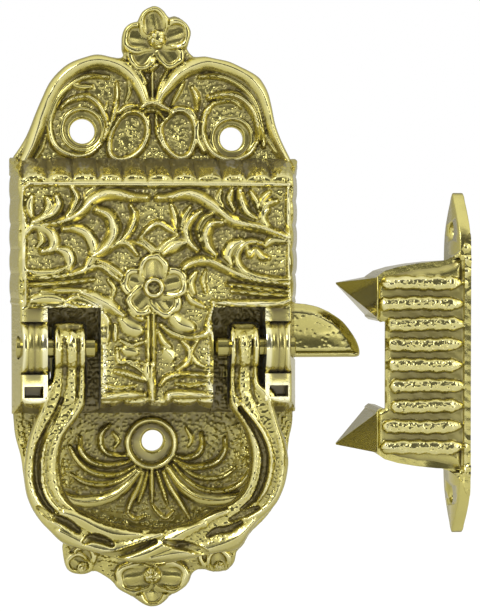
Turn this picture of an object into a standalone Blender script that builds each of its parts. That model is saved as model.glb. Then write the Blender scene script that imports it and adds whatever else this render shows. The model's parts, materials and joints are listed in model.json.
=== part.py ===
# Icebox latch: a cast brass case with a swinging bail pull, a pivoted bolt and its strike.
# The door face is the plane y = 0, the front looks along -Y and Z is up. Lengths are metres.
import math

import bmesh
import bpy
from mathutils import Matrix, Vector

CLEARANCE = 0.0003
CUT_MARGIN = 0.003
WELD = 0.000005

# Front casting
PLATE_HALF_WIDTH = 0.0272
PLATE_THICKNESS = 0.0030
CREST_FOOT = 0.0281
CREST_TOP = 0.0571
LOWER_HEAD = -0.0200
LOWER_FOOT = -0.0571
CASE_DEPTH = 0.0140
CASE_DRAFT = 0.0024
CASE_FRONT_TOP = 0.0236
CASE_FRONT_FOOT = -0.0168
CASE_WALL = 0.0018
PANEL_FOOT = 0.0002
KNUCKLE_LENGTH = 0.0048
KNUCKLE_INNER = PLATE_HALF_WIDTH - CASE_DRAFT - KNUCKLE_LENGTH
POCKET_WIDTH = 0.0096
POCKET_DEPTH = 0.0080
POCKET_STEP = 0.0006
CENTRE_HALF_WIDTH = KNUCKLE_INNER - POCKET_WIDTH
FLUTE_COUNT = 11
FLUTE_RADIUS = 0.0026
RELIEF_SINK = 0.0002
BROAD_STROKE = 0.00195
LONG_STROKE = 4

# Screw holes: across, up, radius of the hole, radius and centre of the ring around it
HOLES = {
    "left": (-0.0134, 0.0333, 0.00235, 0.0057),
    "right": (0.0149, 0.0320, 0.00225, 0.0055),
    "bottom": (-0.0002, -0.0253, 0.00205, 0.0045),
}
COUNTERSINK = 0.0007

# Bail and its pins
AXIS_DEPTH = CASE_DEPTH - 0.0033
AXIS_HEIGHT = -0.0071
PIN_RADIUS = 0.0019
PIN_DOME = 0.0007
KNUCKLE_RADIUS = 0.0051
EYE_RADIUS = 0.0043
LEG_OUTER = KNUCKLE_INNER - 0.0007
LEG_INNER = LEG_OUTER * 0.668
SHOULDER_SHARE = 1.16
LEG_FRONT = AXIS_DEPTH + 0.0024
LEG_BACK = AXIS_DEPTH - 0.0021
ROPE_RADIUS = 0.0033
ROPE_MIDDLE = -0.0440
BAIL_SWING = math.radians(50)

# Bolt
BOLT_AXIS_HEIGHT = -0.0080
BOLT_LIFT = math.radians(10)
BOLT_BACK = 0.0021
BOLT_THICKNESS = 0.0025
BEAK_BACK = 0.0012
BEAK_FRONT = 0.0062
BEAK_ROOT = PLATE_HALF_WIDTH - 0.0040
BEAK_LENGTH = 0.0159
BEAK_FOOT = -0.0094
BEAK_HEIGHT = 0.0103
HUB_RADIUS = 0.0040
STUD_RADIUS = 0.0018
STUD_HEAD_RADIUS = 0.0030
STUD_HEAD = 0.0007
STUD_LENGTH = 0.0083
STUD_BOSS_RADIUS = 0.0038
TAIL_OUTER = LEG_OUTER - 0.0005
TAIL_INNER = TAIL_OUTER - 0.0022
TAIL_DEPTH = 0.0018
CAM_START = 0.0015
CAM_WIDTH = 0.0020
CAM_SHARE = 0.97

# Spring
SPRING_ACROSS = KNUCKLE_INNER - 0.0060
SPRING_SEAT = -0.0030
SPRING_RADIUS = 0.0014
SPRING_WIRE = 0.0003
SPRING_TURNS = 9

# Back cover
COVER_THICKNESS = 0.0008
COVER_SCREW_RADIUS = 0.0011
COVER_SCREW_HEAD = 0.0019
COVER_SCREW_LENGTH = 0.0060
COVER_POST_RADIUS = 0.0027
COVER_POST_ACROSS = PLATE_HALF_WIDTH - 0.0056
COVER_POST_TOP = 0.0205
COVER_POST_FOOT = -0.0128

# Strike, lying as it is shown: its screw face looks along +X
STRIKE_BACK = 0.0584
STRIKE_PLATE = 0.0022
STRIKE_WIDTH = 0.0155
STRIKE_MIDDLE = -0.0105
STRIKE_HALF_HEIGHT = 0.0322
STRIKE_WALL = 0.0020
STRIKE_STEP = 0.0001
STRIKE_BODY = 0.0424
STRIKE_POCKET_WALL = 0.0429
STRIKE_POCKET_HALF = 0.0141
HOOD_HEIGHT = 0.0196
TOOTH_ROOT = 0.0407
TOOTH_TIP = 0.0341
TOOTH_REACH = 0.0153
TOOTH_HEAD = 0.0164
TOOTH_FOOT = 0.0086
TOOTH_BLUNT = 0.0003
RIB_COUNT = 9
RIB_PITCH = 0.00382
RIB_RADIUS = 0.00135
STRIKE_HOLE_RADIUS = 0.0018
STRIKE_HOLE_OFFSET = 0.0251

# Each field of ornament: half width, foot, top and the depth of its ground
FIELDS = {
    "crest": (PLATE_HALF_WIDTH, CREST_FOOT, CREST_TOP, PLATE_THICKNESS),
    "panel": (PLATE_HALF_WIDTH - CASE_DRAFT, PANEL_FOOT, CASE_FRONT_TOP, CASE_DEPTH),
    "centre": (CENTRE_HALF_WIDTH, CASE_FRONT_FOOT, PANEL_FOOT, CASE_DEPTH),
    "lower": (PLATE_HALF_WIDTH, LOWER_FOOT, LOWER_HEAD, PLATE_THICKNESS),
}

# Outline of the back plate, in hundredths of its fields
CREST_LEFT = ((-100, -10), (-98, 1), (-91, 12), (-86, 21), (-81, 31), (-76, 42), (-68, 54),
              (-58, 62), (-45, 66), (-33, 67), (-23, 66))
CREST_FLOWER = ((-19, 69), (-22, 76), (-20, 85), (-11, 90), (-8, 96), (1, 100), (10, 94), (16, 94),
                (24, 89), (27, 82), (25, 73))
CREST_RIGHT = ((29, 67), (40, 67), (50, 65), (61, 61), (71, 56), (78, 49), (83, 37), (87, 21),
               (92, 9), (97, 0), (100, -10))
LOWER_RIGHT = ((99, 96), (95, 86), (92, 70), (88, 56), (77, 43), (64, 31), (59, 25), (54, 18),
               (44, 17), (31, 18), (25, 11))
LOWER_FLOWER = ((19, 8), (11, 4), (5, 1), (-1, 0), (-9, 2), (-18, 6), (-27, 11))
LOWER_LEFT = ((-36, 17), (-50, 17), (-61, 21), (-66, 34), (-78, 46), (-87, 57), (-91, 70),
              (-95, 85), (-99, 96))

# Carved scrolls, leaves and stems: width in millimetres, then hundredths of the field
SCROLLS = {
    "crest": (
        (2.0, ((-91, 0), (-86, 10), (-81, 24), (-76, 38), (-70, 48), (-61, 56), (-50, 61),
               (-38, 63), (-26, 61), (-17, 55), (-11, 47), (-6, 39))),
        (2.0, ((96, -1), (91, 9), (86, 21), (82, 34), (77, 45), (68, 54), (56, 61),
               (43, 64), (30, 62), (19, 55), (11, 47), (5, 39))),
        (1.8, ((-63, 35), (-57, 41), (-48, 43), (-39, 41), (-32, 33), (-30, 22), (-32, 12))),
        (1.8, ((67, 37), (60, 42), (50, 43), (41, 40), (35, 33), (32, 22), (34, 12))),
        (1.5, ((-25, 49), (-25, 41), (-26, 32), (-29, 21))),
        (1.5, ((27, 50), (30, 41), (31, 32), (31, 22))),
        (1.7, ((-8, 35), (0, 38), (9, 35))),
        (1.1, ((-1, 58), (-1, 49), (-1, 39))),
        (1.2, ((-14, 61), (-7, 51), (-3, 39))),
        (1.2, ((17, 61), (9, 51), (3, 39))),
        (1.4, ((-25, 26), (-18, 31), (-10, 30), (-4, 22), (-5, 14), (-10, 7), (-18, 1),
               (-29, 1), (-32, 7), (-29, 16))),
        (1.4, ((10, 28), (20, 32), (27, 27), (30, 18), (30, 9), (25, 3), (18, 3), (10, 9),
               (5, 17), (5, 24))),
    ),
    "panel": (
        (1.9, ((-97, 67), (-81, 68), (-68, 70), (-57, 76), (-49, 84), (-40, 89), (-29, 89),
               (-19, 87), (-8, 87))),
        (1.9, ((1, 87), (14, 87), (26, 90), (37, 87), (47, 79), (57, 72), (69, 68), (81, 64),
               (90, 59), (98, 56))),
        (1.3, ((-80, 87), (-75, 84), (-74, 79), (-78, 75), (-84, 72))),
        (1.2, ((-96, 86), (-97, 78), (-93, 72), (-87, 75), (-84, 82))),
        (1.2, ((64, 93), (61, 83), (65, 74), (70, 69))),
        (1.2, ((79, 90), (74, 85), (71, 78), (72, 71))),
        (1.2, ((87, 83), (81, 80), (78, 73))),
        (2.0, ((-45, 79), (-37, 73), (-33, 64), (-34, 55), (-39, 48), (-46, 43))),
        (1.7, ((-58, 63), (-52, 59), (-49, 50), (-49, 41), (-54, 32))),
        (1.4, ((-72, 48), (-66, 44), (-64, 38), (-67, 31))),
        (1.7, ((-17, 80), (-16, 72), (-20, 61), (-28, 53), (-37, 47))),
        (1.4, ((-97, 65), (-87, 64), (-79, 60), (-77, 53), (-81, 46), (-89, 47))),
        (1.7, ((25, 74), (20, 68), (19, 59), (22, 51), (28, 46))),
        (1.6, ((36, 76), (29, 69), (27, 59), (30, 51), (37, 46))),
        (1.5, ((49, 69), (41, 67), (37, 59), (37, 50), (42, 42))),
        (1.4, ((62, 53), (55, 49), (51, 43), (54, 36))),
        (1.5, ((80, 50), (71, 53), (63, 50), (59, 41), (61, 32), (69, 26), (81, 23), (98, 23))),
        (1.0, ((-13, 56), (-5, 64), (2, 69), (10, 64), (17, 60))),
        (1.0, ((-11, 56), (0, 46), (17, 57))),
        (1.1, ((-46, 40), (-35, 47), (-25, 52), (-16, 42))),
        (1.1, ((-46, 39), (-37, 34), (-27, 26))),
        (1.3, ((18, 28), (21, 35), (28, 39), (40, 38), (53, 32), (66, 26), (81, 22), (98, 20))),
        (1.2, ((-97, 24), (-80, 26), (-61, 29), (-47, 34))),
        (1.4, ((-87, 13), (-54, 13), (-43, 7), (-26, 1))),
        (1.2, ((43, 6), (69, 6), (98, 5))),
        (1.5, ((-66, 7), (-56, 9), (-45, 4))),
    ),
    "centre": (
        (0.8, ((-16, 98), (-16, 65), (-16, 34))),
        (0.8, ((-7, 98), (-7, 65), (-7, 34))),
        (1.0, ((-11, 32), (-11, 3))),
        (1.0, ((-92, 92), (-92, 55), (-92, 20))),
        (1.0, ((92, 92), (92, 55), (92, 20))),
        (1.4, ((-70, 78), (-56, 67), (-37, 60), (-24, 62))),
        (1.3, ((-64, 54), (-59, 42), (-40, 40), (-22, 36))),
        (1.3, ((-75, 27), (-54, 25), (-22, 19))),
        (1.2, ((-90, 6), (-57, 6), (-24, 6))),
        (1.3, ((2, 74), (19, 67), (49, 64), (78, 65))),
        (2.0, ((16, 59), (45, 58), (54, 45), (47, 34), (26, 27))),
        (1.3, ((5, 16), (19, 23), (43, 26), (68, 29))),
        (1.2, ((12, 6), (57, 6), (90, 6))),
    ),
    "lower": (
        (1.6, ((-18, 78), (-32, 78), (-37, 82), (-36, 89), (-31, 91))),
        (1.6, ((-16, 75), (-29, 72), (-41, 72), (-48, 76), (-52, 80), (-51, 87))),
        (1.3, ((-13, 73), (-25, 68), (-39, 68), (-51, 71), (-60, 76))),
        (1.9, ((-11, 71), (-20, 62), (-30, 57), (-43, 54), (-55, 55), (-62, 60))),
        (1.4, ((-7, 70), (-11, 61), (-16, 53), (-19, 48))),
        (1.2, ((-1, 71), (-1, 62), (-1, 55))),
        (1.6, ((14, 78), (25, 77), (32, 80), (34, 86), (32, 90))),
        (1.6, ((15, 75), (26, 72), (37, 72), (46, 75), (50, 80), (51, 86))),
        (1.5, ((13, 72), (22, 63), (33, 59), (47, 58), (58, 60))),
        (1.3, ((5, 70), (10, 62), (15, 54), (22, 46))),
        (1.6, ((9, 70), (20, 60), (34, 55), (51, 55))),
        (2.0, ((-93, 92), (-88, 74), (-82, 58), (-71, 45), (-58, 34), (-46, 26), (-32, 19))),
        (2.0, ((94, 92), (89, 74), (83, 58), (72, 44), (59, 32), (46, 25), (30, 18))),
    ),
}

# Petals and bosses: field, across and up in hundredths, radius
PETALS = (
    ("crest", 0, 91, 0.0025), ("crest", -11, 79, 0.0029), ("crest", 17, 83, 0.0027),
    ("crest", -8, 66, 0.0021), ("crest", 14, 67, 0.0020), ("crest", 2, 79, 0.0016),
    ("panel", -3, 20, 0.0014), ("panel", -3, 35, 0.0014), ("panel", 10, 27, 0.0014),
    ("panel", 8, 11, 0.0013), ("panel", -12, 9, 0.0013), ("panel", -16, 25, 0.0014),
    ("lower", 0, 17, 0.0014), ("lower", -16, 14, 0.0023), ("lower", 13, 15, 0.0023),
    ("lower", -1, 6, 0.0021), ("lower", -51, 24, 0.0029), ("lower", 47, 24, 0.0028),
)

# Lines of the bail: across in hundredths of the leg's outer side, down in hundredths of the way to
# the middle of the rope
BAIL_SIDE = ((-99.6, 9.1), (-99.6, 20.5), (-99.6, 32.5), (-110.9, 34.1), (-113.5, 42.7), (-122.8, 55.5),
             (-126.9, 68.2), (-123.3, 79.5), (-110.9, 89.3), (-96.4, 94.5), (-79.8, 87.7), (-77.7, 79.5),
             (-84.5, 74.1), (-90.7, 68.2), (-92.2, 61.8), (-90.2, 55.5), (-82.9, 50), (-73.1, 42.7),
             (-67.1, 33), (-67.1, 20.5), (-67.1, 9.1))
BAIL_CORNERS = (0, 2, 20)
ROPE_LINE = ((-106.7, 75), (-100.5, 81.8), (-87, 88.2), (-67.4, 93.2), (-45.6, 96.8), (-22.8, 99.1),
             (0, 100))
LEAF_CHANNEL = ((-89.1, 38.2), (-101.6, 50.9), (-110.4, 60.9), (-111.9, 68.2), (-108.3, 75.5))
LEAF_RIDGE = ((-101.6, 35.5), (-108.3, 45.5), (-118.1, 57.7), (-121.2, 68.6), (-117.1, 78.6),
              (-106.7, 86.8))


def new_collection(name):
    made = bpy.data.collections.new(name)
    bpy.context.scene.collection.children.link(made)
    return made


def brass(name, colour, roughness):
    made = bpy.data.materials.new(name)
    made.use_nodes = True
    shader = made.node_tree.nodes["Principled BSDF"]
    shader.inputs["Base Color"].default_value = (*colour, 1)
    shader.inputs["Roughness"].default_value = roughness
    shader.inputs["Metallic"].default_value = 1.0
    return made


def new_object(name, mesh, collection):
    made = bpy.data.objects.new(name, mesh)
    collection.objects.link(made)
    if collection is not parts:
        made.hide_render = True
        made.display_type = "WIRE"
    return made


def from_bmesh(name, bm, collection):
    mesh = bpy.data.meshes.new(name)
    bm.to_mesh(mesh)
    bm.free()
    return new_object(name, mesh, collection)


def box(name, across, depth, up, collection):
    """A block between two values of x, of depth below the door face, and of z."""
    size = Vector((across[1] - across[0], depth[1] - depth[0], up[1] - up[0]))
    middle = Vector((sum(across) / 2, -sum(depth) / 2, sum(up) / 2))
    bm = bmesh.new()
    bmesh.ops.create_cube(bm, size=1, matrix=Matrix.Translation(middle) @ Matrix.Diagonal((*size, 1)))
    return from_bmesh(name, bm, collection)


def rod(name, start, end, radius, collection, end_radius=None, sides=24):
    """A cylinder or cone between two points."""
    start = Vector(start)
    run = Vector(end) - start
    turn = run.to_track_quat("Z", "Y").to_matrix().to_4x4()
    bm = bmesh.new()
    bmesh.ops.create_cone(bm, cap_ends=True, segments=sides, radius1=radius,
                          radius2=radius if end_radius is None else end_radius,
                          depth=run.length, matrix=Matrix.Translation(start + run / 2) @ turn)
    return from_bmesh(name, bm, collection)


def mesh_of(curve_object, collection):
    """Turns a curve object into a closed mesh object in its own place."""
    bpy.context.view_layer.update()
    evaluated = curve_object.evaluated_get(bpy.context.evaluated_depsgraph_get())
    mesh = bpy.data.meshes.new_from_object(evaluated)
    bm = bmesh.new()
    bm.from_mesh(mesh)
    bmesh.ops.transform(bm, matrix=curve_object.matrix_world, verts=bm.verts)
    bmesh.ops.remove_doubles(bm, verts=bm.verts, dist=0.000002)
    bmesh.ops.recalc_face_normals(bm, faces=bm.faces)
    name = curve_object.name
    bpy.data.objects.remove(curve_object)
    return from_bmesh(name, bm, collection)


def flat(name, outline, depth, collection, corners=(), side="front", rounded=True, edge=0.0, inset=0.0):
    """An outline seen from the front (across, up) or from the side (depth, up), given a thickness."""
    curve = bpy.data.curves.new(name, "CURVE")
    curve.dimensions = "2D"
    curve.fill_mode = "BOTH"
    curve.extrude = abs(depth[1] - depth[0]) / 2 - edge
    curve.bevel_depth = edge
    curve.bevel_resolution = 1
    curve.offset = -(edge + inset)
    curve.resolution_u = 2
    spline = curve.splines.new("BEZIER")
    spline.bezier_points.add(len(outline) - 1)
    for index, (point, spot) in enumerate(zip(spline.bezier_points, outline)):
        point.co = (spot[0], spot[1], 0)
        kind = "AUTO" if rounded and index not in corners else "VECTOR"
        point.handle_left_type = kind
        point.handle_right_type = kind
    spline.use_cyclic_u = True
    made = bpy.data.objects.new(name, curve)
    bpy.context.scene.collection.objects.link(made)
    made.rotation_euler.x = math.pi / 2
    middle = sum(depth) / 2
    if side == "front":
        made.location.y = -middle
    else:
        made.rotation_euler.z = -math.pi / 2
        made.location.x = middle
    return mesh_of(made, collection)


def smooth_line(points, per_span=2):
    """Points along a smooth curve that passes through the given ones."""
    line = []
    padded = [points[0], *points, points[-1]]
    for before, start, end, after in zip(padded, padded[1:], padded[2:], padded[3:]):
        for step in range(per_span):
            t = step / per_span
            line.append((start * 2 + (end - before) * t + (before * 2 - start * 5 + end * 4 - after) * t ** 2
                         + (start * 3 - before - end * 3 + after) * t ** 3) / 2)
    line.append(points[-1])
    return line


def stroke(name, points, width, collection, taper=0.35):
    """A ridge that follows a line, thickest in its middle; broad ones have a rounder section."""
    curve = bpy.data.curves.new(name, "CURVE")
    curve.dimensions = "3D"
    curve.bevel_depth = width / 2
    curve.bevel_resolution = 1 if width > BROAD_STROKE else 0
    curve.use_fill_caps = True
    line = smooth_line(points, 2 if len(points) < LONG_STROKE else 1)
    spline = curve.splines.new("POLY")
    spline.points.add(len(line) - 1)
    for index, (point, spot) in enumerate(zip(spline.points, line)):
        share = index / (len(line) - 1)
        point.co = (*spot, 1)
        point.radius = taper + (1 - taper) * math.sin(math.pi * min(max(share, 0.04), 0.96)) ** 0.5
    made = bpy.data.objects.new(name, curve)
    bpy.context.scene.collection.objects.link(made)
    return mesh_of(made, collection)


def turned(name, profile, steps, place, collection, ring=False):
    """A profile of (radius, height), top to bottom, turned about the Z axis of its place."""
    mesh = bpy.data.meshes.new(name)
    links = [(index, index + 1) for index in range(len(profile) - 1)]
    if ring:
        links.append((len(profile) - 1, 0))
    mesh.from_pydata([(radius, 0, height) for radius, height in profile], links, [])
    made = new_object(name, mesh, collection)
    made.matrix_world = place
    screw = made.modifiers.new("turn", "SCREW")
    screw.steps = steps
    screw.render_steps = steps
    screw.use_merge_vertices = True
    screw.merge_threshold = 0.000001
    return made


def boolean(target, operation, tools, solver="EXACT"):
    cut = target.modifiers.new(tools.name, "BOOLEAN")
    cut.operation = operation
    cut.solver = solver
    cut.operand_type = "COLLECTION"
    cut.collection = tools


def bevel(target, width, segments=2, angle=40):
    edge = target.modifiers.new("soft edges", "BEVEL")
    edge.width = width
    edge.segments = segments
    edge.limit_method = "ANGLE"
    edge.angle_limit = math.radians(angle)


def settle(target):
    """Keeps the result of an object's modifiers as its mesh, so that later tools are fast."""
    bpy.context.view_layer.update()
    evaluated = target.evaluated_get(bpy.context.evaluated_depsgraph_get())
    target.data = bpy.data.meshes.new_from_object(evaluated)
    target.modifiers.clear()


def keep_skin(target):
    """Fills the pinholes sealed under crossing ridges: of all closed shells only the largest stays."""
    bm = bmesh.new()
    bm.from_mesh(target.data)
    bmesh.ops.remove_doubles(bm, verts=bm.verts, dist=WELD)
    bmesh.ops.dissolve_degenerate(bm, edges=bm.edges, dist=WELD / 5)
    seen, skin = set(), set()
    for start in bm.verts:
        if start in seen:
            continue
        shell, front = {start}, [start]
        while front:
            here = front.pop()
            for near in (edge.other_vert(here) for edge in here.link_edges):
                if near not in shell:
                    shell.add(near)
                    front.append(near)
        seen |= shell
        skin = max(skin, shell, key=len)
    bmesh.ops.delete(bm, geom=[vert for vert in bm.verts if vert not in skin], context="VERTS")
    bm.to_mesh(target.data)
    bm.free()


def move_origin(target, place):
    """Puts an object's origin on its joint axis without moving its shape."""
    target.data.transform(Matrix.Translation(-Vector(place)))
    target.location = place


def finish(target, material, angle=35):
    target.data.materials.clear()
    target.data.materials.append(material)
    target.data.shade_smooth()
    target.data.set_sharp_from_angle(angle=math.radians(angle))


def on_field(field, across, up, lift=0.0):
    """A point of an ornament field, from hundredths of its half width and of its height."""
    half, foot, top, ground = FIELDS[field]
    return Vector((half * across / 100, -(ground + lift), foot + (top - foot) * up / 100))


def on_bail(points, side=1):
    """Points of the bail's outlines, on the left or mirrored on the right."""
    return [(side * LEG_OUTER * x / 100, ROPE_MIDDLE * down / 100) for x, down in points]


def axis_point(across, out=0.0, up=0.0):
    """A point given from the bail's axis."""
    return Vector((across, -(AXIS_DEPTH + out), AXIS_HEIGHT + up))


def cam_rise():
    """How far the toe drives the tail down for each radian of the bail's swing."""
    return CAM_SHARE * TAIL_INNER * math.sin(BOLT_LIFT) / BAIL_SWING


def cam_outline():
    """The toe behind the left leg's eye, an involute, so that the bolt keeps pace with the bail."""
    rise = cam_rise()
    root = PIN_RADIUS + 1.4 * CLEARANCE
    outline = [(root, -CAM_START)]
    for step in range(7):
        angle = BAIL_SWING * step / 6
        reach = CAM_START + rise * angle
        outline.append((reach * math.sin(angle) + rise * math.cos(angle),
                        -reach * math.cos(angle) + rise * math.sin(angle)))
    tip = outline[-1][0]
    outline += [(tip + 0.0001, 0.0009), (tip - 0.0004, 0.0019), (tip - 0.0018, 0.0026), (root, 0.0028)]
    return [(AXIS_DEPTH - behind, AXIS_HEIGHT + up) for behind, up in outline]


def make_plate():
    """The back plate, with the flowers that end it above and below."""
    outline = [on_field("crest", x, z).xz for x, z in CREST_LEFT + CREST_FLOWER + CREST_RIGHT]
    outline += [on_field("lower", x, z).xz for x, z in LOWER_RIGHT + LOWER_FLOWER + LOWER_LEFT]
    return flat("front_casting", outline, (0, PLATE_THICKNESS), parts, corners=(0, len(CREST_LEFT) - 1))


def make_case(additions):
    """The tapered case, fluted along its top, sides and foot."""
    rim = PLATE_THICKNESS / 2
    base_half = PLATE_HALF_WIDTH
    front_half = PLATE_HALF_WIDTH - CASE_DRAFT
    bm = bmesh.new()
    bmesh.ops.create_cube(bm, size=2)
    for vert in bm.verts:
        front = vert.co.y < 0
        half = front_half if front else base_half
        top = CASE_FRONT_TOP if front else CREST_FOOT
        foot = CASE_FRONT_FOOT if front else LOWER_HEAD
        vert.co = (half * vert.co.x, -(CASE_DEPTH if front else rim), top if vert.co.z > 0 else foot)
    case = from_bmesh("case_block", bm, additions)
    bevel(case, 0.0006)
    pitch = 2 * front_half / (FLUTE_COUNT - 0.3)
    sunk = FLUTE_RADIUS * 0.8
    for index in range(FLUTE_COUNT):
        across = (index - (FLUTE_COUNT - 1) / 2) * pitch
        spread = across * base_half / front_half
        rod(f"top_flute_{index}", (spread, -rim, CREST_FOOT - sunk),
            (across, -CASE_DEPTH + 0.0007, CASE_FRONT_TOP - sunk), FLUTE_RADIUS, additions, sides=10)
        if abs(across) < CENTRE_HALF_WIDTH:
            rod(f"foot_flute_{index}", (spread, -rim, LOWER_HEAD + sunk),
                (across, -CASE_DEPTH + 0.0007, CASE_FRONT_FOOT + sunk), FLUTE_RADIUS, additions, sides=10)
    for index in range(5):
        height = CASE_FRONT_TOP - (index + 0.6) * pitch
        for side in (-1, 1):
            rod(f"side_flute_{side}_{index}", (side * (base_half - sunk), -rim, height),
                (side * (front_half - sunk), -CASE_DEPTH + 0.0007, height),
                FLUTE_RADIUS, additions, sides=10)


def make_knuckles(additions):
    outer = PLATE_HALF_WIDTH - CASE_DRAFT
    length = outer - KNUCKLE_INNER
    groove = 0.0004
    profile = [(0, length), (KNUCKLE_RADIUS - 2 * groove, length), (KNUCKLE_RADIUS, length * 0.88)]
    for share in (0.7, 0.45, 0.2):
        middle = length * share
        profile += [(KNUCKLE_RADIUS, middle + groove), (KNUCKLE_RADIUS - groove, middle),
                    (KNUCKLE_RADIUS, middle - groove)]
    profile += [(KNUCKLE_RADIUS - groove, 0), (0, 0)]
    for side in (-1, 1):
        place = Matrix.Translation(axis_point(side * KNUCKLE_INNER)) @ Matrix.Rotation(side * math.pi / 2, 4, "Y")
        turned(f"knuckle_{side}", profile, 20, place, additions)


def make_carving(additions):
    """Scrolls, leaves, petals and rings raised from the grounds of the casting."""
    for field, scrolls in SCROLLS.items():
        for index, (width, points) in enumerate(scrolls):
            line = [on_field(field, x, z, RELIEF_SINK) for x, z in points]
            stroke(f"{field}_scroll_{index}", line, width / 1000, additions)
    for index, (field, across, up, radius) in enumerate(PETALS):
        bm = bmesh.new()
        place = Matrix.Translation(on_field(field, across, up)) @ Matrix.Diagonal((1, 0.6, 1, 1))
        bmesh.ops.create_uvsphere(bm, u_segments=8, v_segments=5, radius=radius,
                                  matrix=place @ Matrix.Rotation(math.pi / 2, 4, "X"))
        from_bmesh(f"petal_{index}", bm, additions)
    for name, (across, up, radius, ring) in HOLES.items():
        profile = [(ring - 0.0009, -0.0001), (ring - 0.0006, 0.0007), (ring, 0.0010), (ring + 0.0006, 0.0007),
                   (ring + 0.0009, -0.0001), (ring, -0.0006)]
        place = Matrix.Translation((across, -PLATE_THICKNESS, up)) @ Matrix.Rotation(math.pi / 2, 4, "X")
        turned(f"ring_{name}", profile, 16, place, additions, ring=True)


def hollow_case(cuts):
    """The room for the bolt, the deeper room above it and in the centre, and the two pockets."""
    front_half = PLATE_HALF_WIDTH - CASE_DRAFT
    floor = BOLT_BACK + BOLT_THICKNESS + CLEARANCE
    inner_front = CASE_DEPTH - CASE_WALL
    box("bolt_room", (-front_half - 0.0002, front_half + 0.0002), (-0.001, floor),
        (CASE_FRONT_FOOT + 0.0016, CASE_FRONT_TOP - CASE_WALL), cuts)
    box("upper_room", (-front_half + CASE_WALL, front_half - CASE_WALL), (floor - 0.001, inner_front),
        (PANEL_FOOT + 0.0020, CASE_FRONT_TOP - CASE_WALL + 0.0001), cuts)
    box("centre_room", (-CENTRE_HALF_WIDTH + 0.0020, CENTRE_HALF_WIDTH - 0.0020), (floor - 0.001, inner_front),
        (CASE_FRONT_FOOT + 0.0019, PANEL_FOOT + 0.0021), cuts)
    pocket_floor = CASE_DEPTH - POCKET_DEPTH
    outside = CASE_DEPTH + CUT_MARGIN
    below = LOWER_HEAD - CUT_MARGIN
    for side in (-1, 1):
        low, high = sorted((side * (CENTRE_HALF_WIDTH + 0.0001), side * KNUCKLE_INNER))
        box(f"pocket_{side}", (low, high), (pocket_floor, outside), (below, PANEL_FOOT - 0.0001), cuts)
        low, high = sorted((side * (CENTRE_HALF_WIDTH + 0.0001), side * LEG_OUTER * SHOULDER_SHARE))
        box(f"pocket_mouth_{side}", (low, high), (pocket_floor + POCKET_STEP, outside),
            (below, AXIS_HEIGHT - KNUCKLE_RADIUS - 0.0008), cuts)
        rod(f"pin_hole_{side}", axis_point(side * (CENTRE_HALF_WIDTH + 0.0001)),
            axis_point(side * (PLATE_HALF_WIDTH + CUT_MARGIN)), PIN_RADIUS + CLEARANCE, cuts)
    slot_foot = BEAK_FOOT - CLEARANCE
    slot_top = BOLT_AXIS_HEIGHT + BEAK_ROOT * math.sin(BOLT_LIFT) + BEAK_HEIGHT
    box("bolt_slot", (KNUCKLE_INNER + 0.0013, PLATE_HALF_WIDTH + CUT_MARGIN), (-0.001, BEAK_FRONT + CLEARANCE),
        (slot_foot, slot_top), cuts)
    box("toe_slot", (-TAIL_OUTER - 0.0008, -TAIL_INNER + 0.0010), (floor - 0.001, pocket_floor + 0.001),
        (CASE_FRONT_FOOT + 0.0016, AXIS_HEIGHT + 0.0036), cuts)
    reach = COVER_THICKNESS + 0.0001
    box("cover_rebate", (-front_half - 0.0008, front_half + 0.0008), (-0.001, reach),
        (CASE_FRONT_FOOT + 0.0008, CASE_FRONT_TOP - CASE_WALL + 0.0010), cuts)
    for name, (across, up, radius, ring) in HOLES.items():
        rod(f"hole_{name}", (across, CUT_MARGIN, up), (across, -PLATE_THICKNESS - CUT_MARGIN, up), radius, cuts)
        rod(f"sink_{name}", (across, -PLATE_THICKNESS - 0.0015, up), (across, -PLATE_THICKNESS + 0.0012, up),
            radius + COUNTERSINK + 0.0008, cuts, end_radius=radius - 0.0001)


def cover_posts():
    return [(side * COVER_POST_ACROSS, up) for up in (COVER_POST_TOP, COVER_POST_FOOT) for side in (-1, 1)]


def make_posts(additions):
    """Posts for the cover's screws, the boss for the bolt's stud and the spring's upper peg."""
    root = CASE_DEPTH - CASE_WALL + 0.0005
    for index, (across, up) in enumerate(cover_posts()):
        deep = root if up > 0 else BOLT_BACK + BOLT_THICKNESS + 0.0010
        rod(f"post_{index}", (across, -deep, up), (across, -(COVER_THICKNESS + CLEARANCE), up),
            COVER_POST_RADIUS, additions, sides=20)
    rod("stud_boss", (0, -root, BOLT_AXIS_HEIGHT), (0, -(BOLT_BACK + BOLT_THICKNESS + CLEARANCE), BOLT_AXIS_HEIGHT),
        STUD_BOSS_RADIUS, additions, sides=28)
    ceiling = CASE_FRONT_TOP - CASE_WALL
    rod("spring_peg", (SPRING_ACROSS, -spring_depth(), ceiling + 0.0005),
        (SPRING_ACROSS, -spring_depth(), ceiling - 0.0022), SPRING_RADIUS - SPRING_WIRE - CLEARANCE, additions, sides=14)


def spring_depth():
    """Midway between the cover and the floor of the bolt's room."""
    return (COVER_THICKNESS + BOLT_BACK + BOLT_THICKNESS + CLEARANCE) / 2


def stud_start():
    """The depth of the outer face of the stud's head."""
    return BOLT_BACK - CLEARANCE - STUD_HEAD


def drill_posts(cuts):
    for index, (across, up) in enumerate(cover_posts()):
        rod(f"post_hole_{index}", (across, 0.001, up), (across, -(COVER_SCREW_LENGTH + CLEARANCE), up),
            COVER_SCREW_RADIUS + CLEARANCE, cuts, sides=16)
    rod("stud_hole", (0, 0.001, BOLT_AXIS_HEIGHT), (0, -(stud_start() + STUD_LENGTH + CLEARANCE), BOLT_AXIS_HEIGHT),
        STUD_RADIUS + CLEARANCE, cuts)


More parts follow.
